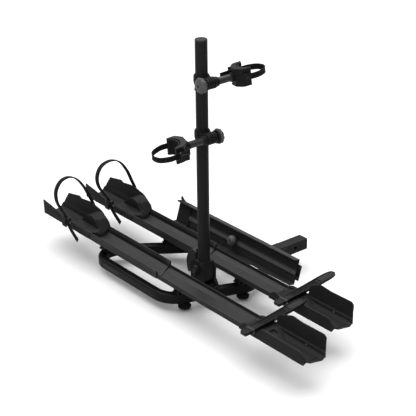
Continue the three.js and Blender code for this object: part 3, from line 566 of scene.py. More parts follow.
def evenly(line, count):
    """The line again with an even number of points, its corners kept as close as they can be."""
    lengths = [0.0]
    for a, b in zip(line, line[1:]):
        lengths.append(lengths[-1] + (Vector(b) - Vector(a)).length)
    result = []
    j = 0
    for k in range(count):
        want = lengths[-1] * k / (count - 1)
        while j < len(lengths) - 2 and lengths[j + 1] < want:
            j += 1
        share = (want - lengths[j]) / max(lengths[j + 1] - lengths[j], 1e-9)
        result.append(tuple(Vector(line[j]).lerp(Vector(line[j + 1]), min(max(share, 0), 1))))
    return result


def extrusion(side, inner, outer, start, end, stations=40):
    """A tray extrusion: its inner and outer line run between two ends, which may curve with y."""
    y0 = TRAY_Y[side]
    top, bottom = [], []
    for i in range(stations + 1):
        share = i / stations
        rows = []
        for line in (inner, outer):
            rows.append([(start(y) + (end(y) - start(y)) * share, y0 + y, z) for y, z in line])
        top.append(rows[0])
        bottom.append(rows[1])
    bm = bmesh.new()
    add_sheet(bm, top, bottom)
    return bm


def rail_lines(low, high):
    """The rail's inner and outer line: a trough with rounded folds and two grooves down each side."""
    half = 50
    inner = rounded([(0, low + 3.2), (26, low + 3.2, 6), (44.2, low + 13, 5), (46.2, high - 0.8, 0.6),
                     (47.2, high)], 1, 5, closed=False)
    outer = rounded([(0, low), (44, low, 4), (half, low + 4, 3), (half, low + 6), (half - 1.5, low + 7),
                     (half - 1.5, low + 9), (half, low + 10), (half, low + 15), (half - 1.5, low + 16),
                     (half - 1.5, low + 18), (half, low + 19), (half, high - 1.2, 1), (half - 1.2, high)],
                    0.5, 3, closed=False)
    return evenly(inner, 60), evenly(outer, 60)


def sleeve_lines(low, high):
    """The sleeve's inner line, and its outer line that wraps over the rail and down its sides."""
    inner = rounded([(0, 33.8), (24.8, 33.8, 6), (41, 42.8, 5), (43, 55, 4), (49.5, high - 1.5, 3),
                     (51, high)], 1, 5, closed=False)
    outer = rounded([(0, 31.2), (25.6, 31.2, 3), (43.2, 40.6, 3), (44.8, 52.7, 2), (50.6, 52.7, 0.6),
                     (50.6, low), (54.6, low), (55, low + 4), (54, low + 5.5), (54, low + 8), (55, low + 9.5),
                     (55, low + 16), (54, low + 17.5), (54, low + 20), (55, low + 21.5), (55, high - 2, 2),
                     (53.2, high)],
                    0.5, 3, closed=False)
    return evenly(inner, 90), evenly(outer, 90)


def make_tray(side):
    low, high = span(f"tray_rail_{side}")
    inner, outer = rail_lines(low.z, high.z)
    bm = extrusion(side, both_sides(inner[1:]), both_sides(outer[1:]),
                   lambda y: low.x, lambda y: high.x)
    piece(f"rail_extrusion_{side}", bm, "rack", ANODISED, [f"tray_rail_{side}"], sharp=28)

    low, high = span(f"tray_sleeve_{side}")

    def sleeve_end(y):
        """An S seen from above, longer on the near side."""
        share = min(max((y + 48) / 92, 0), 1)
        ease = share * share * (3 - 2 * share)
        return high.x - 34 * ease + 5 * sin(pi * 2 * share) * share

    inner, outer = sleeve_lines(low.z, high.z)
    bm = extrusion(side, both_sides(inner[1:]), both_sides(outer[1:]),
                   lambda y: low.x, sleeve_end)
    piece(f"sleeve_extrusion_{side}", bm, f"{side}_front", ANODISED, [f"tray_sleeve_{side}"], sharp=28)


# ---------------------------------------------------------------- wheel cups
def make_cup(name, body, side, node, walls, floor, skirt, chock, ends, under, groove, flare):
    """A moulded trough. Walls are its rims' heights along x, floor its inner line from the middle out,
    and chock the (long, across) lines of the block that closes it inboard."""
    y0 = TRAY_Y[side]
    near_rim, far_rim = walls
    long_line, across_line = chock
    half = skirt[0]
    columns, stations = 37, 104
    rim_y = half - 1 + flare
    top, bottom = [], []
    for i in range(stations + 1):
        share = i / stations

        def along(y):
            return ends[0](y) + (ends[1](y) - ends[0](y)) * share

        inner, outer = {}, {}
        for hand, rim in ((-1, near_rim), (1, far_rim)):
            rim_z = level(rim, along(hand * half))
            lean = min(1, max(0.12, (rim_z - floor[-1][1]) / 55))
            wall_y = floor[-1][0] + (rim_y - floor[-1][0]) * lean
            wall = [(0, floor[0][1]), *[(a, min(b, rim_z - 2)) for a, b in floor], (wall_y, rim_z)]
            inner[hand] = evenly(rounded(wall, 5, 4, closed=False), columns)
            route = [(0, under[0][1]), *[(a, min(b, rim_z - 3.5)) for a, b in under],
                     (half - 3.3, min(under[-1][1], rim_z - 3.5)), (half - 3.3, skirt[1]),
                     (half, skirt[1]), (half, min(60, rim_z - 4)), (wall_y + 3.2, rim_z)]
            outer[hand] = evenly(rounded(route, 1.5, 3, closed=False), columns)
        row_top, row_bottom = [], []
        for y, z in [(-y, z) for y, z in reversed(inner[-1][1:])] + inner[1]:
            x = along(y)
            block = soft_min(level(long_line, x), level(across_line, y), 5)
            (x0, x1), (groove_0, groove_1), deep = groove
            edge = min(x - x0, x1 - x, y - groove_0, groove_1 - y)
            block -= deep * min(max(edge / 3, 0), 1)
            block = min(block, level(near_rim if y < 0 else far_rim, x) + 1)
            row_top.append((x, y0 + y, soft_max(z, block, 4)))
        for y, z in [(-y, z) for y, z in reversed(outer[-1][1:])] + outer[1]:
            row_bottom.append((along(y), y0 + y, z))
        top.append(row_top)
        bottom.append(row_bottom)
    bm = bmesh.new()
    add_sheet(bm, top, bottom)
    return piece(name, bm, body, PLASTIC, [node], sharp=40)


def make_front_cup(side):
    node = f"front_cup_{side}"
    low, high = span(node)
    tip, end = low.x - 1.2, high.x
    far_rim = [(tip, 60), (tip + 8, 62), (tip + 34, 112), (tip + 120, 125.5), (tip + 140, 119),
               (tip + 196, 125.5), (tip + 240, 124), (tip + 304, 114), (end - 14, 84), (end + 5, 60)]
    near_rim = [(tip, 97), (tip + 3, 103), (tip + 9, 105), (tip + 64, 94), (tip + 150, 71), (tip + 200, 64),
                (end - 60, 66), (end + 5, 58)]
    long_line = [(end - 200, 30), (end - 190, 38), (end - 104, 105), (end - 62, 113), (end - 48, 107),
                 (end - 5, 54), (end, 48)]
    across_line = [(-64, 66), (-54, 71), (-16, 107), (-4, 113), (64, 114)]

    def tip_end(y):
        return level([(-70, tip + 1), (-50, tip + 4), (-12, tip + 8), (30, tip + 6), (52, tip + 3),
                      (70, tip + 1)], y)

    def inboard_end(y):
        return level([(-70, end - 16), (-50, end - 16), (-34, end - 10), (-10, end - 1), (24, end - 2),
                      (44, end - 8), (70, end - 10)], y)

    make_cup(f"front_cup_moulded_{side}", f"{side}_front", side, node, (near_rim, far_rim),
             [(24, 38), (39.5, 46.5), (41.5, 58), (49, 71)], (59, low.z), (long_line, across_line),
             (tip_end, inboard_end), [(24.6, 34.5), (40.4, 43.4), (42.4, 55.5), (49, 67.4)],
             ((end - 46, end - 17), (-13, 13), 7), 6)


def make_rear_cup(side):
    """The cup under the rear wheel, with a shallow groove across its floor near the tip."""
    node = f"rear_cup_{side}"
    low, high = span(node)
    start, tip = low.x, high.x + 2
    strap_x = middle(f"rear_strap_{side}").x
    far_rim = [(start, 44), (start + 8, 52), (start + 34, 61), (strap_x + 22, 62), (strap_x + 27, 97),
               (strap_x + 36, 103), (start + 172, 120), (start + 190, 125.5),
               (start + 250, 120), (tip - 26, 122), (tip - 6, 106), (tip + 5, 60)]
    near_rim = [(start, 46), (start + 26, 66), (start + 40, 69), (strap_x - 30, 57), (strap_x + 27, 56.4),
                (strap_x + 46, 80), (strap_x + 54, 84), (tip - 46, 84),
                (tip - 34, 76), (tip - 26, 50), (tip + 5, 40)]
    long_line = [(start + 4, 30), (start + 8, 40), (start + 50, 53), (start + 70, 57), (start + 112, 59),
                 (start + 126, 58), (start + 196, 33.5), (start + 204, 28)]
    across_line = [(-64, 53), (-52, 55.4), (-40, 56), (-20, 58), (64, 60)]

    def tip_end(y):
        return level([(-70, tip - 27), (-52, tip - 25), (22, tip - 3), (28, tip - 2.2), (42, tip - 4),
                      (56, tip - 15), (70, tip - 18)], y)

    cup = make_cup(f"rear_cup_moulded_{side}", "rack", side, node, (near_rim, far_rim),
             [(24.5, 35.2), (40.3, 44.2), (42.4, 57), (47, 58)], (54, low.z), (long_line, across_line),
             (lambda y: start, tip_end), [(25.2, 31.8), (42.8, 41.2), (44.8, 53.4), (50.7, 53.4)],
             ((start + 126, start + 154), (-10, 18), 9), 3)
    y0 = TRAY_Y[side]
    slot = bmesh.new()
    add_prism(slot, box_outline((tip - 27, tip - 21), (y0 - 23, y0 + 23), 2, 3), "z", 33.2, 60)
    carve(cup, slot)


# ---------------------------------------------------------------- wheel straps
FRONT_LOOP = {
    "near": [(-78, 96), (-102, 140), (-122, 190), (-122, 238), (-96, 276), (-54, 286), (-10, 264),
             (26, 216), (52, 162), (72, 118), (76, 84)],
    "far": [(-78, 96), (-108, 140), (-134, 190), (-136, 238), (-110, 278), (-60, 291), (-10, 271),
            (28, 221), (53, 164), (72, 118), (76, 84)],
}


def add_teeth(bm, path, across, spacing, share, half, base, tall):
    """A row of low ridges across a strap, between two shares of its length."""
    lengths = [0.0]
    for a, b in zip(path, path[1:]):
        lengths.append(lengths[-1] + (b - a).length)
    j = 0
    for k in range(int(lengths[-1] * (share[1] - share[0]) / spacing)):
        want = lengths[-1] * share[0] + k * spacing
        while lengths[j + 1] < want:
            j += 1
        at = path[j].lerp(path[j + 1], (want - lengths[j]) / max(lengths[j + 1] - lengths[j], 1e-9))
        along = (path[j + 1] - path[j]).normalized()
        side = (across - along * across.dot(along)).normalized()
        up = along.cross(side)
        profile = [(-0.34, base), (0.34, base), (0.18, base + tall), (-0.18, base + tall)]
        add_rings(bm, [[at + along * a * spacing + up * h + side * s for a, h in profile]
                       for s in (-half, half)])


def strap_section(half, thick):
    """A strap's cross-section: a flat band with rounded edges and a lip along both of them."""
    t = thick / 2
    return rounded([(-half, -t), (half, -t), (half, t), (half - 2.2, t), (half - 2.6, t - 0.6),
                    (-half + 2.6, t - 0.6), (-half + 2.2, t), (-half, t)], 0.5, 2)


def make_front_strap(side):
    y0 = TRAY_Y[side]
    body = f"{side}_front"
    x = middle(f"front_strap_{side}").x
    across = Vector((1, 0, 0.12))
    path = [Vector((x, y0 + p.x, p.y)) for p in smooth_line(FRONT_LOOP[side], 10)]
    bm = sweep(path, strap_section(12.4, 5), across)
    add_teeth(bm, path, across, 4.2, (0.02, 0.62), 8.6, -2.5, -0.9)
    piece(f"front_strap_toothed_{side}", bm, body, RUBBER, [f"front_strap_{side}"], sharp=30)

    shell = rounded([(y0 - 80.5, 57), (y0 - 64.6, 51.5), (y0 - 63.6, 84), (y0 - 69, 94), (y0 - 84, 89)], 4, 5)
    bm = prism(shell, "x", x - 15, x + 15)
    cheek = rounded([(y0 - 83, 55), (y0 - 64.6, 50), (y0 - 63.6, 87), (y0 - 68, 97), (y0 - 87, 92)], 6, 6)
    for low, high in ((x - 21, x - 15), (x + 15, x + 21)):
        add_prism(bm, cheek, "x", low, high)
    add_lathe(bm, [(4, x - 27), (6, x - 26), (6.5, x - 22), (6.5, x + 22), (6, x + 26), (4, x + 27)], "x",
              (y0 - 74, 74), 32)
    piece(f"front_buckle_body_{side}", bm, body, PLASTIC, [f"front_buckle_{side}"], bevel=0.8)
    for k, hand in enumerate((-1, 1)):
        screw(f"front_buckle_screw_{side}_{k}", (x + hand * 26.6, y0 - 74, 74), (hand, 0, 0), 4.2, body)

    tail = [Vector((x + p.x, y0 - 76.4, p.y)) for p in
            smooth_line([(4, 78), (10, 66), (28, 48), (54, 28), (84, 8)], 8)]
    bm = sweep(tail, strap_section(11.5, 3.2), Vector((1, 0, 1)))
    add_teeth(bm, tail, Vector((1, 0, 1)), 4.2, (0.3, 0.96), 8.2, 1.6, 0.9)
    piece(f"front_strap_tail_{side}", bm, body, RUBBER, sharp=30)

    grip = rounded([(y0 - 86.5, 97), (y0 - 92, 91), (y0 - 93, 62), (y0 - 90, 51), (y0 - 86, 53),
                    (y0 - 87, 64), (y0 - 86.4, 84)], 2, 4)
    bm = prism(grip, "x", x - 15, x + 15)
    for k in range(4):
        z = 60 + 6 * k
        ridge = rounded([(y0 - 92, z), (y0 - 94, z + 1), (y0 - 94, z + 2.4), (y0 - 92, z + 3.4)], 0.5, 2)
        add_prism(bm, ridge, "x", x - 12, x + 12)
    piece(f"front_buckle_grip_{side}", bm, f"{side}_buckle_lever", DARK_PLASTIC,
          [f"front_buckle_lever_{side}"], bevel=0.6)

    plate = rounded([(y0 + 68.5, 60), (y0 + 79, 60), (y0 + 80, 83), (y0 + 70, 84)], 2.5, 4)
    bm = prism(plate, "x", x - 17, x + 17)
    piece(f"front_anchor_plate_{side}", bm, body, PLASTIC, [f"front_strap_anchor_{side}"], bevel=0.8)
    for k, hand in enumerate((-1, 1)):
        screw(f"front_anchor_screw_{side}_{k}", (x + hand * 10, y0 + 79.4, 70), (0, 1, 0.05), 3.4, body)


def make_rear_strap(side):
    """The stiff strap: a channelled bar with a ladder down its middle, hinged beside the rail."""
    y0 = TRAY_Y[side]
    node = f"rear_strap_{side}"
    low, high = span(node)
    x = (low.x + high.x) / 2
    pivot_y, pivot_z = y0 - 66, 57
    slope = tan(radians(REAR_STRAP_SLOPE))

    def top(s):
        return pivot_z + 13.6 + slope * s

    stations = [(-39.6, 13), (-38, 15.6), (-34, 17), (-19.02, 18), (-19, 18), (10, 18), (10.02, 18),
                (16, 17.6), (60, 17.6), (120, 18.4), (170, 20), (196, 21.4), (240, 21.6), (262, 19),
                (272, 15), (277, 10.6), (REAR_STRAP_REACH, 6)]
    rings = []
    for s, half in stations:
        notch = pivot_z + 8 if -19.01 < s < 10.01 else top(s) - 13
        floor = top(s) - (12 if s < 240 else 10)
        trench = 4.5 if 18 <= s <= 254 else 1.4
        side_u = half - 3.2
        rings.append([(x + u, pivot_y + s, v) for u, v in (
            (-half, floor), (-12.6, floor), (-12.6, max(notch, floor)), (12.6, max(notch, floor)),
            (12.6, floor), (half, floor), (half, top(s)), (side_u, top(s)),
            (max(side_u - 1, 1), top(s) - trench), (-max(side_u - 1, 1), top(s) - trench),
            (-side_u, top(s)), (-half, top(s)))])
    bm = bmesh.new()
    add_rings(bm, rings)
    for k in range(26):
        s = 26 + 6.2 * k
        foot, peak = top(s) - 4.8, top(s) - 2.2
        add_prism(bm, [(pivot_y + s - 1.9, foot), (pivot_y + s + 1.9, foot), (pivot_y + s + 1, peak),
                       (pivot_y + s - 1, peak)], "x", x - 13.4, x + 13.4)
    piece(f"rear_strap_bar_{side}", bm, f"{side}_rear_strap", STRAP, [node], bevel=0.8)

    bm = prism(rounded([(x - 15.5, pivot_y + 196), (x + 15.5, pivot_y + 196), (x + 16, pivot_y + 248),
                        (x + 9, pivot_y + 266), (x - 9, pivot_y + 266), (x - 16, pivot_y + 248)], 5, 5),
               "z", 0, 3.4)
    for vert in bm.verts:
        vert.co.z += top(vert.co.y - pivot_y) - 4.6
    piece(f"rear_strap_pad_{side}", bm, f"{side}_rear_strap", PLASTIC, bevel=0.9)

    bm = bmesh.new()
    shape = rounded([(pivot_y - 6.5, top(-6.5) - 1), (pivot_y + 7, top(7) - 1), (pivot_y + 7, top(7) + 1.4),
                     (pivot_y - 6.5, top(-6.5) + 1.4)], 0.8, 3)
    add_prism(bm, shape, "x", x - 20.4, x + 20.4)
    wing = rounded([(pivot_y - 6.5, 51), (pivot_y + 7, 51), (pivot_y + 7, top(7) + 1.4),
                    (pivot_y - 6.5, top(-6.5) + 1.4)], 2.2, 4)
    for low_x, high_x in ((x - 20.6, x - 18.2), (x + 18.2, x + 20.6)):
        add_prism(bm, wing, "x", low_x, high_x)
    piece(f"rear_strap_plate_{side}", bm, f"{side}_rear_strap", CAP, bevel=0.5)
    for k, hand in enumerate((-1, 1)):
        screw(f"rear_strap_pin_{side}_{k}", (x + hand * 20.4, pivot_y, pivot_z), (hand, 0, 0), 4.2,
              f"{side}_rear_strap")
    keep(f"rear_strap_hanger_{side}", PLASTIC, 0.8)


def cup_screws(side):
    """The screws that hold the wheel cups down on their rail and sleeve."""
    y0 = TRAY_Y[side]
    rear = span(f"rear_cup_{side}")[0].x
    front = span(f"front_cup_{side}")[0].x
    for k, (x, y, z, body) in enumerate((
        (rear + 12, 32, 39.4, "rack"), (rear + 12, -32, 39.4, "rack"), (rear + 283, 41, 47.4, "rack"),
        (rear + 283, 0, 35, "rack"), (front + 76, 0, 37.8, f"{side}_front"),
        (front + 130, 0, 37.8, f"{side}_front"),
    )):
        tilt = (0, -0.45, 1) if y > 20 else (0, 0.45, 1) if y < -20 else (0, 0, 1)
        screw(f"cup_screw_{side}_{k}", (x, y0 + y, z), tilt, 4.6, body, SCREW)
    for k, (x, z) in enumerate(((front + 250, 50), (front + 330, 50))):
        screw(f"cup_side_screw_{side}_{k}", (x, y0 - 59, z), (0, -1, 0), 3.8, f"{side}_front", SCREW)


# ---------------------------------------------------------------- mast and its hinge
def bezier(a, b, c, d, steps=8):
    """Points of a cubic curve, without its last one."""
    result = []
    for k in range(steps):
        t = k / steps
        s = 1 - t
        result.append(tuple(s ** 3 * a[i] + 3 * s * s * t * b[i] + 3 * s * t * t * c[i] + t ** 3 * d[i]
                            for i in (0, 1)))
    return result


def make_mast():
    low = span("mast_tube")[0].z
    bore = MAST_R - 3
    bm = lathe([(bore, low), (MAST_R - 0.8, low), (MAST_R, low + 0.8), (MAST_R, MAST_TOP - 0.6),
                (MAST_R - 0.6, MAST_TOP), (bore, MAST_TOP)], sides=96, closed=True)
    tube = piece("mast_round_tube", bm, "mast", TUBE_FINISH, ["mast_tube"])
    drill = lathe([(4, -60), (4, -10)], "x", (0, MAST_TOP - 40), 32)
    carve(tube, drill)
    top = span("mast_cap")[1].z
    bm = lathe([(21, MAST_TOP - 20), (22, MAST_TOP - 18), (22, MAST_TOP + 0.3),
                (MAST_R - 0.2, MAST_TOP + 0.3), (MAST_R + 0.2, MAST_TOP + 0.9), (MAST_R + 0.2, top - 4.4),
                (MAST_R - 0.5, top - 3), (MAST_R - 2.2, top - 1.4), (MAST_R - 5, top - 0.6),
                (MAST_R - 6, top - 0.9), (MAST_R - 7, top - 0.5), (10, top), (0.4, top)], sides=96)
    piece("mast_end_cap", bm, "mast", CAP, ["mast_cap"], sharp=40, slot="black_plastic")


def make_hinge():
    keep("mast_bracket", PAINT, 1.4)
    keep("mast_hinge_block", PAINT, 1.4)
    fold = (-6, 59)
    bm = lathe([(MAST_R + 0.3, 96), (MAST_R + 3.4, 96), (MAST_R + 3.6, 98), (MAST_R + 2.6, 100.6),
                (MAST_R + 0.3, 101)], sides=96, closed=True)
    piece("mast_socket_collar", bm, "mast", PAINT, bevel=0.4)

    wing = rounded([(-10, 30), (0, 42), (-2, 54), (8, 64), (10, 78), (0, 86), (-12, 84), (-18, 74), (-22, 62),
                    (-30, 54), (-28, 40), (-20, 38), (-18, 30)], 6, 5)
    bm = prism(wing, "y", -50, -38)
    add_lathe(bm, [(8, -52.6), (10.5, -52), (11.5, -50), (11.5, -44)], "y", fold, 32)
    add_lathe(bm, [(7, -45), (7, 46)], "y", fold, 32)
    add_lathe(bm, [(12, -42), (14, -41), (14, -34.3), (12, -34.3)], "y", fold, 48)
    piece("mast_pin_grip", bm, "mast_pin", PLASTIC, ["mast_pin_knob"], bevel=1.1)
    ring = lathe([(4.4, -53), (6.6, -53), (6.6, -50), (4.4, -50)], "y", fold, 32, closed=True)
    piece("mast_pin_boss", ring, "mast_pin", STEEL, bevel=0.3)
    bm = lathe([(12, 38.3), (13, 39), (13, 40.4), (11.8, 41)], "y", fold, 48)
    add_lathe(bm, [(10.8, 41), (11.6, 41.8), (11.6, 45), (10.6, 46)], "y", fold, 6)
    piece("mast_pin_nut", bm, "mast_pin", STEEL, sharp=25)

    handle = (bezier((-33, 76), (-38, 92), (-40, 104), (-38, 122))
              + bezier((-38, 122), (-52, 139), (-70, 129), (-80, 116))
              + bezier((-80, 116), (-94, 98), (-105, 82), (-102.4, 54))
              + bezier((-102.4, 54), (-101.4, 34), (-98, 20), (-88, 12.6))
              + bezier((-88, 12.6), (-76, 14), (-66, 40), (-54, 56))
              + bezier((-54, 56), (-50, 64), (-38, 62), (-33, 76)))
    bm = bmesh.new()
    for low, high in ((-14.6, -4), (6, 16.6)):
        add_prism(bm, handle, "y", low, high)
    grip = [(u, v) for u, v in handle if u < -49]
    add_prism(bm, grip, "y", -4.2, 6.2)
    add_lathe(bm, [(3, -17), (5.6, -16.4), (5.6, 18.4), (3, 19)], "y", (-39, 72), 32)
    piece("mast_release_grip", bm, "mast_lever", GRIP, ["mast_release_lever"], bevel=2.2, parts=3)


# ---------------------------------------------------------------- frame arms
def make_arm(name, height, hand, reach, roll, turn, pitch, tail):
    """A liner, saddle, rod, knob and head. The knob and its parts face away from the rod."""
    place = Matrix.Translation((0, 0, height))
    x = ARM_X
    part = partial(piece, place=place)
    bm = lathe([(MAST_R + 0.4, -38), (MAST_R + 4, -38), (MAST_R + 4.2, -36), (MAST_R + 2.9, -35),
                (MAST_R + 2.8, 23), (MAST_R + 4.2, 24), (MAST_R + 4, 26), (MAST_R + 0.4, 26)],
               sides=96, closed=True)
    part(f"{name}_liner_moulded", bm, f"{name}_liner", RUBBER, [f"{name}_arm_liner"])

    # The saddle's band is cut away round the back of the mast, so its lower edge sweeps up from the lug.
    bm = bmesh.new()
    rings = []
    for i in range(120):
        angle = 2 * pi * i / 120
        away = abs((angle + pi) % (2 * pi) - pi)
        share = min(max((away - 0.8) / 1.6, 0), 1)
        low = -34 + 32 * share * share * (3 - 2 * share)
        ring = [(MAST_R + 3.3, low), (MAST_R + 6.6, low), (MAST_R + 7.5, low + 1.6), (MAST_R + 7.5, 20.4),
                (MAST_R + 6.6, 22), (MAST_R + 3.3, 22)]
        rings.append([(r * cos(angle), r * sin(angle), v) for r, v in ring])
    add_rings(bm, rings, closed=True)
    add_prism(bm, rounded([(27, -18), (x, -18), (x, 18), (27, 18)], 3, 4), "z", -22, 22)
    barrel = [(8, -22), (22.4, -22), (24, -20.6), (24, -14), (21.4, -12.6), (21.4, -9.4), (24, -8),
              (24, -3.4), (22.6, -1.6), (16, -1.6), (16, 1.6), (22.6, 1.6), (24, 3.4), (24, 8), (21.4, 9.4),
              (21.4, 12.6), (24, 14), (24, 20.6), (22.4, 22), (8, 22)]
    add_lathe(bm, barrel, "y", (x, 0), 72)
    part(f"{name}_saddle_moulded", bm, f"{name}_arm", DARK_PLASTIC, [f"{name}_arm_saddle"], sharp=36)

    def turned(points, centre=(x, 0), sides=64, wave=None, closed=False, sign=hand):
        profile = [(p[0], sign * p[1], *p[2:]) for p in points]
        return lathe(profile, "y", centre, sides, wave, closed)

    bm = turned([(15.2, 22.4), (20.6, 22.4), (21.6, 23.4), (21.6, 25.6), (19.4, 26.6), (19.4, 27.6),
                 (21, 28.6), (21, 31), (18.4, 33), (18.4, 34), (19.6, 35), (19.6, 37.4), (18.2, 39),
                 (15.2, 39)], closed=True)
    part(f"{name}_rod_collar", bm, f"{name}_arm", DARK_PLASTIC, sharp=36)
    bm = turned([(5.8, -37.6), (6, -37), (6, 22.6), (12, 22.8), (ROD_R - 0.6, 24), (ROD_R, 25),
                 (ROD_R, reach - 1.2), (ROD_R - 0.8, reach - 0.4), (4, reach - 0.2)])
    part(f"{name}_rod_tube", bm, f"{name}_arm", ROD, [f"{name}_arm_rod"])

    def scallops(angle):
        return -0.07 * (0.5 - 0.5 * cos(9 * angle)) ** 0.7

    bm = turned([(12, 36), (28, 36, 1), (31, 37.4, 1), (33, 40, 1), (33, 46.6, 1), (31.6, 49.6, 1),
                 (29, 51.4, 0.7), (24, 54.2, 0.3), (18, 56.6), (11, 58.4), (7.4, 58.8), (6.4, 58.2),
                 (5.8, 56), (5.6, 50.5), (0.3, 50.5)], wave=scallops, sides=144, sign=-hand)
    part(f"{name}_knob_face", bm, f"{name}_knob", PALE, [f"{name}_arm_knob"], sharp=40)

    def ribs(angle):
        return 0.05 * cos(18 * angle)

    bm = turned([(6.4, 22.4), (16.4, 22.4), (17, 23), (17, 26), (25, 27, 1), (27.4, 29, 1), (27.4, 36.4, 1),
                 (6.4, 36.4)], wave=ribs, sides=144, closed=True, sign=-hand)
    part(f"{name}_knob_hub", bm, f"{name}_knob", DARK_PLASTIC, sharp=36)
    bm = turned([(0.3, 51.5), (4.6, 51.5), (4.6, 54), (4, 54.4), (0.3, 54.4)], sides=32, sign=-hand)
    part(f"{name}_lock_core", bm, f"{name}_knob", STEEL)
    # Painted shade: a thin dark plate stands in for the shade inside the lock's key slot.
    bm = bmesh.new()
    add_box(bm, (x - 0.6, x + 0.6), sorted((-hand * 54.2, -hand * 54.8)), (-3, 3))
    part(f"{name}_lock_slot", bm, f"{name}_knob", SHADOW)

    head = (Matrix.Translation((x, hand * reach, height)) @ Matrix.Rotation(radians(roll), 4, "Y")
            @ Matrix.Rotation(radians(turn + (0 if hand > 0 else 180)), 4, "Z")
            @ Matrix.Rotation(radians(pitch), 4, "X"))
    straight = Matrix.Rotation(radians(-pitch), 4, "X") @ Matrix.Rotation(radians(-turn), 4, "Z")
    make_head(name, head, straight, tail)


def make_head(name, place, straight, tail):
    """The cradle with its pad and ratchet strap, drawn with its mouth towards +y. Straight turns the
    neck back into line with the arm's rod, and the strap's loose end hangs down to tail."""
    half = 41
    body = f"{name}_head"
    part = partial(piece, place=place)
    outside = (bezier((-half, 46), (-half, 32), (-24, 24), (-17, 15)) + [(-17, 15)]
               + bezier((17, 15), (24, 24), (half, 32), (half, 46)) + [(half, 46)])
    inside = (bezier((half - 6, 74), (half - 6, 52), (22, 39), (0, 36), 10)
              + bezier((0, 36), (-22, 39), (-half + 6, 52), (-half + 6, 74), 10))
    jaw = [(-half, 73)] + outside + [(half, 73), (half - 1.4, 74.4)] + inside + [
        (-half + 6, 74), (-half + 1.4, 74.4)]
    wide = [(u * 1.05, 46 + (v - 46) * (1.07 if v < 46 else 1.03)) for u, v in outside]
    flange = [(-half * 1.05, 74)] + wide + [(half * 1.05, 74)] + inside + [(-half + 6, 74)]
    bm = prism(jaw, "z", -35, 35)
    for low, high in ((-38, -33.6), (33.6, 38), (-13.6, -10.8), (10.8, 13.6)):
        add_prism(bm, flange, "z", low, high)
    neck = lathe([(6, 0.4), (17.2, 0.4), (18.4, 1.6), (18.4, 6), (16.8, 7), (16.8, 9), (18.4, 10),
                  (18.4, 16), (20, 20), (20, 25), (6, 25)], "y", (0, 0), 64)
    neck.transform(straight)
    shape = to_mesh(neck, "neck")
    bm.from_mesh(shape)
    bpy.data.meshes.remove(shape)
    part(f"{name}_cradle_moulded", bm, body, DARK_PLASTIC, [f"{name}_arm_cradle"], bevel=0.9)

    back = (bezier((half - 7, 72), (half - 8, 54), (21, 42), (0, 39), 20)
            + bezier((0, 39), (-21, 42), (-half + 8, 54), (-half + 7, 72), 20) + [(-half + 7, 72)])
    front = evenly(bezier((-half + 12, 72), (-half + 13, 58), (-18, 48), (0, 45), 20)
                   + bezier((0, 45), (18, 48), (half - 13, 58), (half - 12, 72), 20)
                   + [(half - 12, 72)], 97)
    ribbed = []
    for i, (u, v) in enumerate(front):
        ahead, behind = front[min(i + 1, 96)], front[max(i - 1, 0)]
        normal = Vector((-(ahead[1] - behind[1]), ahead[0] - behind[0])).normalized()
        lift = 1.5 * (0.5 - 0.5 * cos(2 * pi * i / 8))
        ribbed.append((u + normal.x * lift, v + normal.y * lift))
    bm = prism(back + ribbed, "z", -35.4, 35.4)
    part(f"{name}_pad_ribbed", bm, body, RUBBER, [f"{name}_arm_pad"], sharp=50)
    screw(f"{name}_pad_screw", (0, 46.6, -10), (0, 1, 0), 4.4, body, SCREW, place)

    route = [(half + 4, 42), (half + 4, 72), (half + 4, 104), (half - 12, 142), (2, 156), (-half + 12, 142),
             (-half - 4, 104), (-half - 4, 72), (-half - 5, 34), (-half - 2, tail)]
    path = [Vector((p.x, p.y, 0)) for p in smooth_line(route, 9)]
    across = Vector((0, 0, 1))
    bm = sweep(path, strap_section(12.5, 3.4), across)
    add_teeth(bm, path, across, 4, (0.5, 0.985), 9, -1.7, -1.3)
    add_prism(bm, box_outline((half + 0.3, half + 3), (46, 62), 0.8), "z", -12.5, 12.5)
    part(f"{name}_strap_toothed", bm, body, RUBBER, [f"{name}_arm_strap"], sharp=30)
    bm = prism(box_outline((half + 5.8, half + 10), (34, 66), 2.4, 5), "z", -15.5, 15.5)
    for low, high in ((-18, -15.5), (15.5, 18)):
        add_prism(bm, box_outline((half + 0.4, half + 11), (32, 68), 3, 5), "z", low, high)
    part(f"{name}_strap_anchor", bm, body, DARK_PLASTIC, bevel=0.8)
    screw(f"{name}_anchor_screw", (half + 9.8, 50, 0), (1, 0, 0), 4.4, body, SCREW, place)

    keep(f"{name}_arm_buckle", DARK_PLASTIC, 0.7)
    lever = rounded([(-half - 15.6, 66), (-half - 19, 70), (-half - 27, 62), (-half - 30, 30),
                     (-half - 26, 28), (-half - 21, 52), (-half - 15.6, 56)], 3, 5)
    bm = prism(lever, "z", -15, 15)
    for k in range(4):
        y = 34 + 5 * k
        u = -half - 29.5 + 0.09 * (y - 30)
        ridge = rounded([(u, y), (u - 1.3, y + 0.6), (u - 1.3, y + 2), (u, y + 2.6)], 0.4, 2)
        add_prism(bm, ridge, "z", -12, 12)
    part(f"{name}_ratchet_grip", bm, f"{name}_ratchet_lever", DARK_PLASTIC,
          [f"{name}_arm_ratchet_lever"], bevel=0.8)
    for k, side in enumerate((-1, 1)):
        screw(f"{name}_ratchet_screw_{k}", (-half - 10, 60, side * 17), (0, 0, side), 3.6, body, STEEL, place)


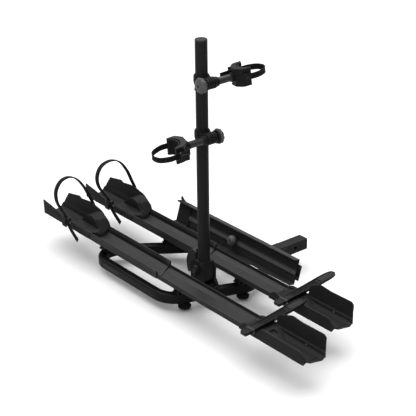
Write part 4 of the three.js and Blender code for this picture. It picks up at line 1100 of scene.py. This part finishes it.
# ---------------------------------------------------------------- stowed ramp
def make_ramp():
    low, high = span("ramp_channel")
    place = Matrix.Translation((0, 263, 63)) @ Matrix.Rotation(radians(RAMP_LEAN), 4, "X")
    part = partial(piece, place=place)
    half = RAMP_HALF
    upper = [(5, 8, 2), (4.6, half - 6.4, 2), (-4, half - 4.6, 0.6), (-18, half - 5.4, 0.4),
             (-20, half - 4, 0.4), (-23.6, half - 4.6, 0.5), (-24, half - 2, 1), (-22, half, 1)]
    lower = [(-22, -half, 1), (-24, 2 - half, 1), (-23.6, 4.6 - half, 0.5), (-20, 4 - half, 0.4),
             (-18, 5.4 - half, 0.4), (-4, 4.6 - half, 0.6), (4.6, 6.4 - half, 2), (5, -19, 2)]
    groove = [(1, -16, 1), (0, -14, 0.5), (0, 3, 0.5), (1, 5, 1)]
    section = rounded([(8, half, 1.4), (8, -half, 1), *lower, *groove, *upper], 1, 3)
    bm = prism(section, "x", low.x, high.x)
    part("ramp_channel_folded", bm, "ramp", ANODISED, ["ramp_channel"], bevel=0.3, sharp=28)
    bm = prism(box_outline((-0.7, 0.6), (-13.4, 2.4), 0.4, 3), "x", low.x + 1, high.x - 1)
    part("ramp_grip_strip", bm, "ramp", STRIP)
    for k, (x, y, z) in enumerate(((high.x - 30, 4.8, 26), (high.x - 30, -0.6, -6), (low.x + 18, -0.6, -6))):
        bm = lathe([(0.3, y + 0.2), (3.4, y + 0.2), (3.4, y - 0.5), (2.4, y - 0.9), (0.3, y - 0.5)], "y",
                   (x, z), 32)
        part(f"ramp_rivet_{k}", bm, "ramp", SCREW)

    tip = span("ramp_end")[0].x
    joint = low.x - 0.3
    # The plastic end's seam with the channel bows towards the tip; its panel is a raised hexagon.
    walls = rounded([(9, -half, 1), (9, half, 1.5), (-23, half, 1.4), (-25, half - 4, 1.4),
                     (-22.6, half - 7, 1), (2.6, half - 5.6, 4), (3.6, 6 - half, 4),
                     (-22.6, 7.4 - half, 1), (-25, 4 - half, 1.4), (-23, -half, 1.4)], 1, 4)
    bm = bmesh.new()
    rings = []
    for i in range(25):
        share = i / 24
        rings.append([(tip + 1 + (joint - tip - 1) * share + (1 - share) * 6 * (v / half + 1), u, v)
                      for u, v in walls])
    add_rings(bm, rings)
    lip = rounded([(tip + 13, half - 8), (tip + 36, half - 8), (tip + 34, half + 1), (tip + 22, half + 5),
                   (tip + 7, half + 15.4), (tip + 1, half + 15.8), (tip + 2, half + 9)], 1.6, 3)
    add_prism(bm, lip, "y", 2.6, 8.8)
    part("ramp_end_moulded", bm, "ramp", PLASTIC, ["ramp_end"], bevel=0.8)
    corners = [(tip + 52 + 24 * cos(radians(60 * k)), 2 + 26 * sin(radians(60 * k))) for k in range(6)]
    hexagon = rounded(corners, 3, 3)
    bm = prism(hexagon, "y", 1.4, 5)
    inner = [(tip + 52 + (u - tip - 52) * 0.8, 2 + (v - 2) * 0.8) for u, v in hexagon]
    add_prism(bm, inner, "y", 0.2, 5)
    part("ramp_end_panel", bm, "ramp", DARK_PLASTIC, bevel=0.6)
    # Painted shade: a thin dark rod along the seam stands in for the shade in the joint.
    seam = [Vector((joint - 3 + 9 * cos(pi * (v + 48) / 96), 2.4, v)) for v in range(-48, 49, 4)]
    bm = sweep(seam, circle(1.3, 8), Vector((0, 1, 0)))
    part("ramp_end_seam", bm, "ramp", SHADOW, slot="black_rubber")

    bm = bmesh.new()
    for v in (22, -20):
        hook = rounded([(9, v - 6), (9, v + 6), (-2, v + 4.4), (-3, v), (-2, v - 5)], 1.6, 3)
        add_prism(bm, hook, "x", high.x + 0.3, high.x + 15)
    add_prism(bm, box_outline((8.4, 12), (-34, 34), 1.4), "x", high.x - 30, high.x + 15)
    part("ramp_hook_plate", bm, "ramp", DARK_PLASTIC, ["ramp_hooks"], bevel=0.8)

    x = middle("ramp_knob").x
    bm = lathe([(0.3, 29.6), (5.6, 29.6), (6, 29), (6, -3), (9, -3.4), (17, -4), (21, -6.4), (23.6, -10.4),
                (24, -14.4), (22.8, -20), (20, -25), (16, -29.2), (11.4, -32), (7.6, -33.2), (5.8, -33.2),
                (5, -32.4), (4.8, -24), (0.3, -24)], "y", (x, 0), 72)
    part("ramp_ball_knob", bm, "ramp_knob", PALE, ["ramp_knob"], sharp=40)
    # Painted shade: a dark disc inside the knob's bore stands in for the shade in the hole.
    bm = lathe([(0.3, -24.4), (4.4, -24.4), (4.4, -26), (0.3, -26)], "y", (x, 0), 32)
    part("ramp_knob_core", bm, "ramp_knob", SHADOW)
    keep("ramp_bracket", PAINT, 1.0)


# ---------------------------------------------------------------- the stage
def make_stage():
    floor_z = CAD_BOX[0].z - FLOOR_GAP
    bm = bmesh.new()
    corners = [(-1, -1), (1, -1), (1, 1), (-1, 1)]
    bm.faces.new([bm.verts.new((x * FLOOR_HALF, y * FLOOR_HALF, floor_z)) for x, y in corners])
    mesh = to_mesh(bm, "floor")
    floor = add_object("floor", mesh)
    material, _, shader = nodes_of("pale_floor")
    set_inputs(shader, {"Base Color": FLOOR_GREY, "Roughness": 0.9, "Specular IOR Level": 0.1})
    mesh.materials.append(material)

    world = bpy.data.worlds.new("studio")
    world.use_nodes = True
    back = world.node_tree.nodes["Background"]
    set_inputs(back, {"Color": (1, 1, 1, 1), "Strength": WORLD_STRENGTH})
    bpy.context.scene.world = world
    bpy.context.scene.view_settings.view_transform = "Standard"

    centre = (CAD_BOX[0] + CAD_BOX[1]) / 2
    overhead = bpy.data.lights.new("overhead", "SUN")
    overhead.energy = 7.4
    overhead.angle = radians(80)
    add_object("overhead", overhead).rotation_euler = (radians(-6), radians(-14), 0)
    for name, offset, size, watts in (
        ("key", (-1.8, -0.6, 3.2), 2.6, 14),
        ("fill", (1.6, -2.8, 1.6), 3.0, 80),
        ("rim", (0.6, 3.0, 2.4), 2.0, 22),
    ):
        light = bpy.data.lights.new(name, "AREA")
        light.energy = watts
        light.size = size
        lamp = add_object(name, light)
        lamp.location = centre + Vector(offset)
        lamp.rotation_euler = (-Vector(offset)).to_track_quat("-Z", "Y").to_euler()


def make_camera():
    azimuth, elevation, roll = (radians(a) for a in CAMERA_TURN)
    forward = Vector((-sin(azimuth) * cos(elevation),
                      cos(azimuth) * cos(elevation), -sin(elevation)))
    right = Vector((cos(azimuth), sin(azimuth), 0))
    up = right.cross(forward)
    turned_right = right * cos(roll) + up * sin(roll)
    turned_up = up * cos(roll) - right * sin(roll)
    data = bpy.data.cameras.new("camera")
    data.sensor_width = 36
    data.lens = LENS
    data.clip_end = 100
    camera = add_object("camera", data)
    basis = Matrix((turned_right, turned_up, -forward)).transposed()
    camera.matrix_world = Matrix.Translation(CAMERA_PLACE) @ basis.to_4x4()
    bpy.context.scene.camera = camera


make_camera()
make_stage()
make_hitch()
make_frame()
for tray_side in SIDES:
    make_tray(tray_side)
    make_front_cup(tray_side)
    make_rear_cup(tray_side)
    make_front_strap(tray_side)
    make_rear_strap(tray_side)
    cup_screws(tray_side)
make_mast()
make_hinge()
for arm_name, setting in ARMS.items():
    make_arm(arm_name, **setting)
make_ramp()
